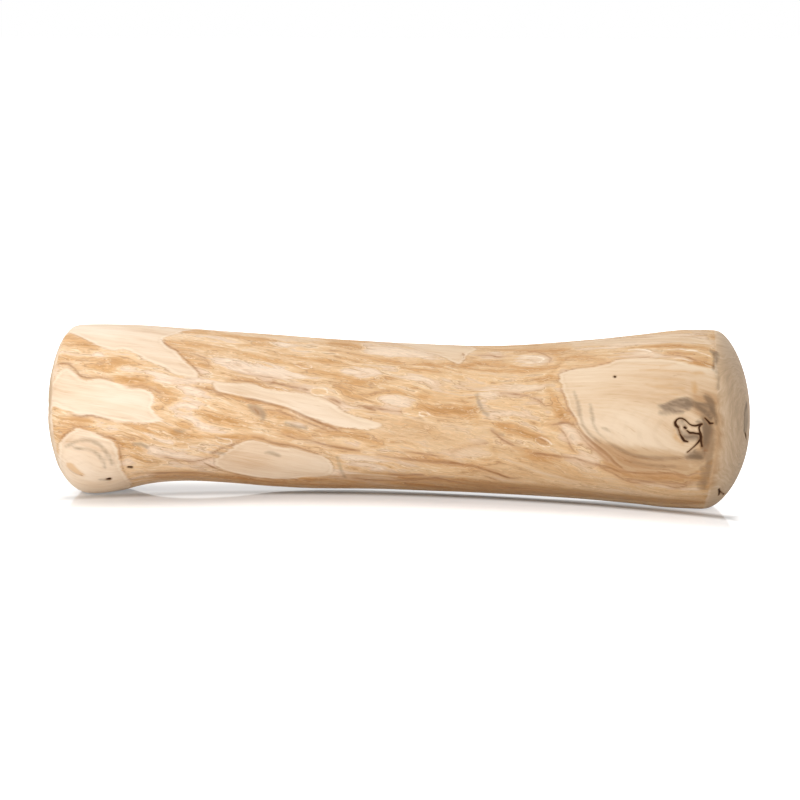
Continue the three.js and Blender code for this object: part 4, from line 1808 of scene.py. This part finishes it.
@dataclass(frozen=True)
class WoodFinish:
    """The finish of the whole stick.

    Attributes:
        roughness: Roughness of the outer layer.
        bare_roughness: Roughness of the bare wood.
        shine: How strongly it reflects.
        relief: Depth of the finest grain, in millimetres.
        light: Colour of the pale rims.
        brown: Colour of the dark lines.
        darker: What the wood is multiplied by towards the right end: painted shade, where the light falls
            off.
        painted_falloff_from: Where that painted shade starts and where it is full, in millimetres from the
            left tip.
        stains_and_painted_shade: The marks that are laid over the wood, in this order; the PAINTED_SHADE
            ones are painted shade.
        halo: The wood beside the dark lines, which shows less on bare wood.
        line: The dark lines, which are worn in places.
        scorch: Colour of the wood beside the cracks and pits.
        crack: Colour inside them.
    """

    roughness: float = 0.6
    bare_roughness: float = 0.5
    shine: float = 0.3
    relief: float = 0.06
    light: str = "#F1E1CB"
    brown: str = "#94663F"
    # Painted shade: the light's falloff towards the right end is painted as darker wood.
    darker: str = "#F2EDE4"
    painted_falloff_from: tuple[float, float] = (50.0, 140.0)
    stains_and_painted_shade: tuple[MarkTone, ...] = (
        MarkTone(Layer.LIGHT, light, fine=0.5, medium=0.5, edge=(0.75, 0.3), cover=0.8),
        MarkTone(Layer.STAIN, "#978068", fine=1.0, medium=1.2, edge=(1.8, 0.4), cover=0.7),
        # Painted shade: the PAINTED_SHADE patches multiply the wood darker where it turns away from the
        # light.
        MarkTone(Layer.PAINTED_SHADE, "#DAC7AE", fine=0.6, medium=3.0, edge=(3.0, 0.4), cover=0.8, blend="MULTIPLY"),
        MarkTone(Layer.SHADE, "#67503A", fine=0.5, medium=0.6, edge=(1.3, 0.2), cover=0.7),
    )
    halo: MarkTone = MarkTone(Layer.BROWN, "#BD9068", 1.4, 1.6, (3.0, 1.0), cover=0.42, cover_change=-0.3)
    line: MarkTone = MarkTone(Layer.BROWN, brown, 0.7, 0.5, (0.85, 0.25), cover=0.48, cover_change=0.36)
    scorch: str = "#8A623A"
    crack: str = "#402208"
    border_reach = 3.2  # how far the grain pushes the border of a patch, in millimetres
    border_gaps, border_gap_edge = Grain(14, 5), (0.42, 0.66)  # what breaks the dark line round it
    border_cover, rim_cover = (0.04, 0.34), 0.35
    end_scale, end_reach = 120.0, 0.8  # the noise of the ends' borders: features in a metre, and its force
    bare_end, end_edge = (0.62, 0.9), (1.0, 1.3)  # where a worn rim and the end grain start and are full
    line_wear, line_wear_edge = Grain(5, 2), (0.35, 0.62)
    scorch_edge, scorch_cover = (0.6, 0.05), 0.5  # these edges are distances from a crack or pit
    crack_edge, dull_edge = (0.2, -0.08), (0.3, 0.0)

    def make(self) -> bpy.types.Material:
        """Builds the material.

        Returns:
            The material.
        """
        material = bpy.data.materials.new("worn wood")
        material.use_nodes = True
        graph = Graph(material.node_tree)
        shader = material.node_tree.nodes["Principled BSDF"]
        flow = graph.attribute("flow", "Vector")
        distance = {layer: graph.attribute(layer.value) for layer in Layer}
        cream, ochre = distance[Layer.CREAM], distance[Layer.OCHRE]
        outer = OuterLayer().use(
            graph, Flow=flow, Ochre=ochre, Pale=distance[Layer.PALE], Wash=distance[Layer.WASH]
        )
        fine, medium = outer["Fine"], outer["Medium"]
        unevenness = graph.total((medium, 0.5), (fine, 0.5))
        border = PatchBorder().use(graph, Distance=cream, Unevenness=unevenness, Reach=self.border_reach)
        bare = BareWood().use(graph, Flow=flow, Depth=cream, Knot=graph.attribute("knot"), Ochre=ochre)
        place = graph.add("ShaderNodeTexCoord").outputs["Object"]
        ends = EndGrain().use(graph, Place=place)
        uneven = graph.texture(place, self.end_scale)
        worn_end = graph.total((graph.attribute("end"), 1.0), (uneven, self.end_reach))
        inside = graph.math("MAXIMUM", border["Inside"], graph.step(worn_end, *self.bare_end))
        colour = graph.mix(inside, outer["Color"], bare["Color"])
        height = graph.between(inside, outer["Height"], bare["Height"])
        gaps = graph.step(graph.noise(flow, self.border_gaps), *self.border_gap_edge)
        least, more = self.border_cover
        cover: object = graph.math("MULTIPLY_ADD", gaps, more, least)
        colour = graph.tint(colour, border["Line"], cover, self.brown)
        colour = graph.tint(colour, border["Rim"], self.rim_cover, self.light)
        # Painted shade: darker towards the right end, where the light falls off.
        darker = graph.step(graph.parts(flow)[0], *self.painted_falloff_from)
        colour = graph.mix(darker, colour, linear(self.darker), "MULTIPLY")
        end = graph.step(worn_end, *self.end_edge)
        colour = graph.mix(end, colour, ends["Color"])
        height = graph.between(end, height, ends["Height"])
        wear = graph.step(graph.noise(flow, self.line_wear), *self.line_wear_edge)
        goes_by = {self.halo: inside, self.line: wear}
        for tone in (*self.stains_and_painted_shade, self.halo, self.line):
            frayed = graph.total((distance[tone.layer], 1.0), (fine, tone.fine), (medium, tone.medium))
            cover = tone.cover
            if tone in goes_by:
                cover = graph.math("MULTIPLY_ADD", goes_by[tone], tone.cover_change, tone.cover)
            colour = graph.tint(colour, graph.step(frayed, *tone.edge), cover, tone.code, tone.blend)
        opening = graph.math("MINIMUM", distance[Layer.CRACK], distance[Layer.PIT])
        colour = graph.tint(colour, graph.step(opening, *self.scorch_edge), self.scorch_cover, self.scorch)
        colour = graph.mix(graph.step(opening, *self.crack_edge), colour, linear(self.crack))
        graph.feed(shader.inputs["Base Color"], colour)
        shader.inputs["Specular IOR Level"].default_value = self.shine
        rough = graph.between(inside, self.roughness, self.bare_roughness)
        dull = graph.step(opening, *self.dull_edge)
        graph.feed(shader.inputs["Roughness"], graph.total((rough, 1.0), (fine, 0.08), (dull, 0.4)))
        bump = graph.add("ShaderNodeBump", {"Height": height, "Distance": self.relief * MM, "Strength": 1.0})
        graph.feed(shader.inputs["Normal"], bump.outputs[0])
        return material


@dataclass(frozen=True)
class Swirl:
    """A place that the grain runs round.

    Attributes:
        at: Its distance from the left tip.
        turn: Its angle up from the front, in degrees.
        along: Half its length, in millimetres.
        round: Half its height.
        force: Share by which the grain is pushed aside.
    """

    at: float
    turn: float
    along: float
    round: float
    force: float


@dataclass(frozen=True)
class Relief:
    """How far the marks of one layer stand out.

    Attributes:
        layer: The marks.
        height: Their height in millimetres, which is negative for a hollow.
        edge: The distances from them at which it starts and is full.
    """

    layer: Layer
    height: float
    edge: tuple[float, float]


@dataclass
class Driftwood:
    """The stick: its skin, the figure on it and its finish.

    Attributes:
        skin: The grid of faces.
        view: The photograph's viewpoint, which places the marks seen in it.
        finish: The wood's finish.
        swirls: The places that the grain runs round.
        knots: The middles of the knots, as (at, turn).
        knot_squeeze: How much shorter the way to a knot counts along the grain.
        reliefs: The hollows of the bare wood, the lines, the cracks and the pits, and the ochre's rise.
    """

    skin: Skin = field(default_factory=Skin)
    view: Viewpoint = field(default_factory=Viewpoint)
    finish: WoodFinish = field(default_factory=WoodFinish)
    swirls: tuple[Swirl, ...] = (
        Swirl(172, 2, 30, 17, 0.75),
        Swirl(14, -34, 17, 14, 0.8),
        Swirl(66, -36, 22, 7, 0.45),
        Swirl(52, 160, 20, 13, 0.7),
        Swirl(78, 27, 8, 3, 0.4),
    )
    knots: tuple[tuple[float, float], ...] = ((184, 3), (13, -34), (52, 158))
    knot_squeeze: float = 0.62
    reliefs: tuple[Relief, ...] = (
        Relief(Layer.CREAM, -0.12, (0.5, -0.7)),
        Relief(Layer.OCHRE, 0.06, (0.6, -0.8)),
        Relief(Layer.BROWN, -0.1, (0.35, -0.15)),
        Relief(Layer.CRACK, -0.45, (0.12, -0.24)),
        Relief(Layer.PIT, -0.8, (0.12, -0.3)),
    )
    ripple, ripple_size = 0.07, (18, 2.4)  # height of the coarse grain, and its size along and across
    right_facing, right_from = (0.0, 0.28), (183, 189)  # how the skin faces, and where, at the right end
    left_facing = (0.42, 0.98)

    def flow(self, at: np.ndarray, up: np.ndarray) -> np.ndarray:
        """Works out where each point lies in the grain.

        Args:
            at: The points' distance from the left tip.
            up: Their distance round the stick.

        Returns:
            Rows of the distance along the grain and the place in a circle round it, in millimetres.
        """
        around = up + GRAIN_DROP * (at - LENGTH / 2)
        for swirl in self.swirls:
            away = wrapped(up - math.radians(swirl.turn) * GIRTH_RADIUS)
            near = np.exp(-(((at - swirl.at) / swirl.along) ** 2) - (away / swirl.round) ** 2)
            around -= away * swirl.force * near
        angle = around / GIRTH_RADIUS
        return np.column_stack((at, GIRTH_RADIUS * np.cos(angle), GIRTH_RADIUS * np.sin(angle)))

    def knot_distance(self, at: np.ndarray, up: np.ndarray) -> np.ndarray:
        """Measures the distance to the nearest knot, squeezed along the grain.

        Args:
            at: The points' distance from the left tip.
            up: Their distance round the stick.

        Returns:
            The distances, in millimetres.
        """
        away = [
            np.hypot((at - knot_at) * self.knot_squeeze, wrapped(up - math.radians(turn) * GIRTH_RADIUS))
            for knot_at, turn in self.knots
        ]
        return np.min(away, axis=0)

    def end_mask(self, at: np.ndarray, facing: np.ndarray) -> np.ndarray:
        """Says how much each point belongs to an end.

        Args:
            at: The points' distance from the left tip.
            facing: How far they face right.

        Returns:
            The shares, from 0 to 1.
        """
        right = smoothstep(*self.right_facing, facing) * smoothstep(*self.right_from, at)
        return np.where(facing > 0, right, smoothstep(*self.left_facing, -facing))

    def relief(self, layers: dict[Layer, np.ndarray], flow: np.ndarray) -> np.ndarray:
        """Works out how far each point of the skin stands out.

        Args:
            layers: The distance to the marks of each layer.
            flow: The place in the grain.

        Returns:
            The heights, in millimetres.
        """
        height = sum(part.height * smoothstep(*part.edge, layers[part.layer]) for part in self.reliefs)
        along, across = self.ripple_size
        grain = [noise.noise(Vector((s / along, c / across, n / across))) for s, c, n in flow]
        return height + self.ripple * np.array(grain)

    def build(self) -> bpy.types.Object:
        """Builds the stick.

        Returns:
            The stick's object.
        """
        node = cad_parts[NODE]
        stick = Stick(node)
        figure = Figure(stick, self.view)
        marks = [*placed_marks(), *HiddenFigure().marks()]
        openings = [mark for mark in marks if mark.layer in (Layer.CRACK, Layer.PIT)]
        grid = self.skin.lay(stick)
        self.skin.refine(grid, stick, figure, openings)
        points = np.array([vert.co for vert in grid.verts])
        layers = figure.measure(points, marks)
        at, up = stick.unroll(points)
        flow = self.flow(at, up)
        heights = self.relief(layers, flow) * MM
        grid.normal_update()
        facing = np.array([vert.normal.x for vert in grid.verts])
        for vert, height in zip(grid.verts, heights):
            vert.co += vert.normal * height
            vert.co.z = max(vert.co.z, 0.0)
        for face in grid.faces:
            face.smooth = True
        mesh = bpy.data.meshes.new("driftwood_skin")
        grid.to_mesh(mesh)
        grid.free()
        for layer, distance in layers.items():
            self.write(mesh, layer.value, distance)
        self.write(mesh, "knot", self.knot_distance(at, up))
        self.write(mesh, "end", self.end_mask(at, facing))
        mesh.attributes.new("flow", "FLOAT_VECTOR", "POINT").data.foreach_set("vector", flow.ravel())
        mesh.materials.append(self.finish.make())
        skin = bpy.data.objects.new("driftwood_skin", mesh)
        bpy.context.scene.collection.objects.link(skin)
        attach(skin, BODY)
        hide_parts(NODE)
        LOG.info("skin: %d points, %d faces", len(mesh.vertices), len(mesh.polygons))
        return skin

    def write(self, mesh: bpy.types.Mesh, name: str, values: np.ndarray) -> None:
        """Stores a number for each point of the skin."""
        mesh.attributes.new(name, "FLOAT", "POINT").data.foreach_set("value", values.astype(np.float32))


@dataclass(frozen=True)
class SoftLight:
    """A soft light with a square face, aimed at the stick.

    Attributes:
        name: What it is.
        place: Where it stands, in metres.
        power: Its power, in watts.
        size: Its width, in metres.
        target: The point that it is aimed at.
    """

    name: str
    place: tuple[float, float, float]
    power: float
    size: float
    target: tuple[float, float, float] = (0, 0, 0.02)

    def make(self) -> bpy.types.Object:
        """Makes the light.

        Returns:
            The light's object.
        """
        data = bpy.data.lights.new(self.name, "AREA")
        data.energy = self.power
        data.size = self.size
        light = bpy.data.objects.new(self.name, data)
        light.location = self.place
        aim = Vector(self.target) - light.location
        light.rotation_euler = aim.to_track_quat("-Z", "Y").to_euler()
        bpy.context.scene.collection.objects.link(light)
        return light


@dataclass
class Studio:
    """The plain white studio: its floor, its lights and its backdrop.

    Attributes:
        lights: The lights.
        floor_size: Width of the floor, in metres.
        floor_gap: How far the floor lies under the stick, in metres, so that the two don't share a plane.
        ambient: Strength of the light from all round.
        glow: How much the floor's own light adds to what the eye sees of it, far from the stick.
        glow_reach: Where that light starts and where it is full, in metres from the foot.
        near_glow: How much it adds close to the stick.
        near_reach: Where that light starts and where it is full.
        near_lean: The share by which it is weaker on the left and stronger on the right.
    """

    lights: tuple[SoftLight, ...] = (
        SoftLight("key", (-0.12, -0.38, 0.14), 1.31, 0.3),
        SoftLight("top", (-0.4, 0.25, 0.76), 5.2, 0.7),
        SoftLight("right", (0.9, -0.08, 0.22), 1.95, 0.7),
    )
    floor_size: float = 12.0
    floor_gap: float = 0.00003
    ambient: float = 0.35
    glow: float = 0.6
    glow_reach: tuple[float, float] = (0.005, 0.034)
    near_glow: float = 0.36
    near_reach: tuple[float, float] = (0.0, 0.005)
    near_lean: float = 0.4
    lean_reach = (-0.1, 0.1)  # where along the stick the lean starts and ends, in metres
    foot, foot_bow, foot_half = 0.003, 2.1, 0.094  # the line that the stick lies over
    floor_white, floor_roughness = 0.78, 0.05

    def glow_strength(self, graph: Graph) -> bpy.types.NodeSocket:
        """Works out how strongly each point of the floor glows.

        Args:
            graph: The graph of the floor's material.

        Returns:
            The strength's output.
        """
        x, y, _ = graph.parts(graph.add("ShaderNodeTexCoord").outputs["Object"])
        bow = graph.times(graph.times(x, x), -self.foot_bow)
        across = graph.math("ABSOLUTE", graph.math("SUBTRACT", graph.math("SUBTRACT", y, bow), self.foot))
        aside = graph.math("SUBTRACT", graph.math("ABSOLUTE", x), self.foot_half)
        away = graph.math("MAXIMUM", across, graph.math("MAXIMUM", aside, 0.0))
        full = graph.step(away, *self.glow_reach)
        rightwards = graph.step(x, *self.lean_reach)
        lean = graph.math("MULTIPLY_ADD", rightwards, 2 * self.near_lean, 1 - self.near_lean)
        near = graph.times(graph.step(away, *self.near_reach), self.near_glow)
        near = graph.times(near, graph.between(full, lean, 1.0))
        return graph.math("ADD", near, graph.times(full, self.glow))

    def make_floor(self) -> bpy.types.Object:
        """Makes the floor.

        Returns:
            The floor's object.
        """
        grid = bmesh.new()
        bmesh.ops.create_grid(grid, x_segments=2, y_segments=2, size=self.floor_size / 2)
        mesh = bpy.data.meshes.new("floor")
        grid.to_mesh(mesh)
        grid.free()
        material = bpy.data.materials.new("white acrylic")
        material.use_nodes = True
        shader = material.node_tree.nodes["Principled BSDF"]
        shader.inputs["Base Color"].default_value = (*(self.floor_white,) * 3, 1)
        shader.inputs["Roughness"].default_value = self.floor_roughness
        shader.inputs["Emission Color"].default_value = (1, 1, 1, 1)
        graph = Graph(material.node_tree)
        seen = graph.add("ShaderNodeLightPath").outputs["Is Camera Ray"]
        graph.feed(shader.inputs["Emission Strength"], graph.times(seen, self.glow_strength(graph)))
        mesh.materials.append(material)
        floor = bpy.data.objects.new("floor", mesh)
        floor.location.z = -self.floor_gap
        bpy.context.scene.collection.objects.link(floor)
        return floor

    def make_backdrop(self) -> bpy.types.World:
        """Makes the backdrop: plain white to the eye, and dimmer as a light.

        Returns:
            The world.
        """
        world = bpy.data.worlds.new("white")
        world.use_nodes = True
        graph = Graph(world.node_tree)
        sky = world.node_tree.nodes["Background"]
        sky.inputs["Color"].default_value = (1, 1, 1, 1)
        path = graph.add("ShaderNodeLightPath")
        seen = graph.math("MAXIMUM", path.outputs["Is Camera Ray"], path.outputs["Is Glossy Ray"])
        strength = graph.math("MULTIPLY_ADD", seen, 1.0 - self.ambient, self.ambient)
        graph.feed(sky.inputs["Strength"], strength)
        bpy.context.scene.world = world
        return world

    def build(self) -> None:
        """Builds the studio."""
        self.make_floor()
        self.make_backdrop()
        for light in self.lights:
            light.make()
        bpy.context.scene.view_settings.view_transform = "Standard"
        LOG.info("studio: floor, backdrop and %d lights", len(self.lights))


def main() -> None:
    """Builds the stick and its studio, and logs the skin's size and the studio's lights."""
    logging.basicConfig(level=logging.INFO, format="%(name)s: %(message)s")
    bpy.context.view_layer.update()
    stick = Driftwood()
    stick.view.make_camera()
    stick.build()
    Studio().build()


if __name__ == "__main__":
    main()
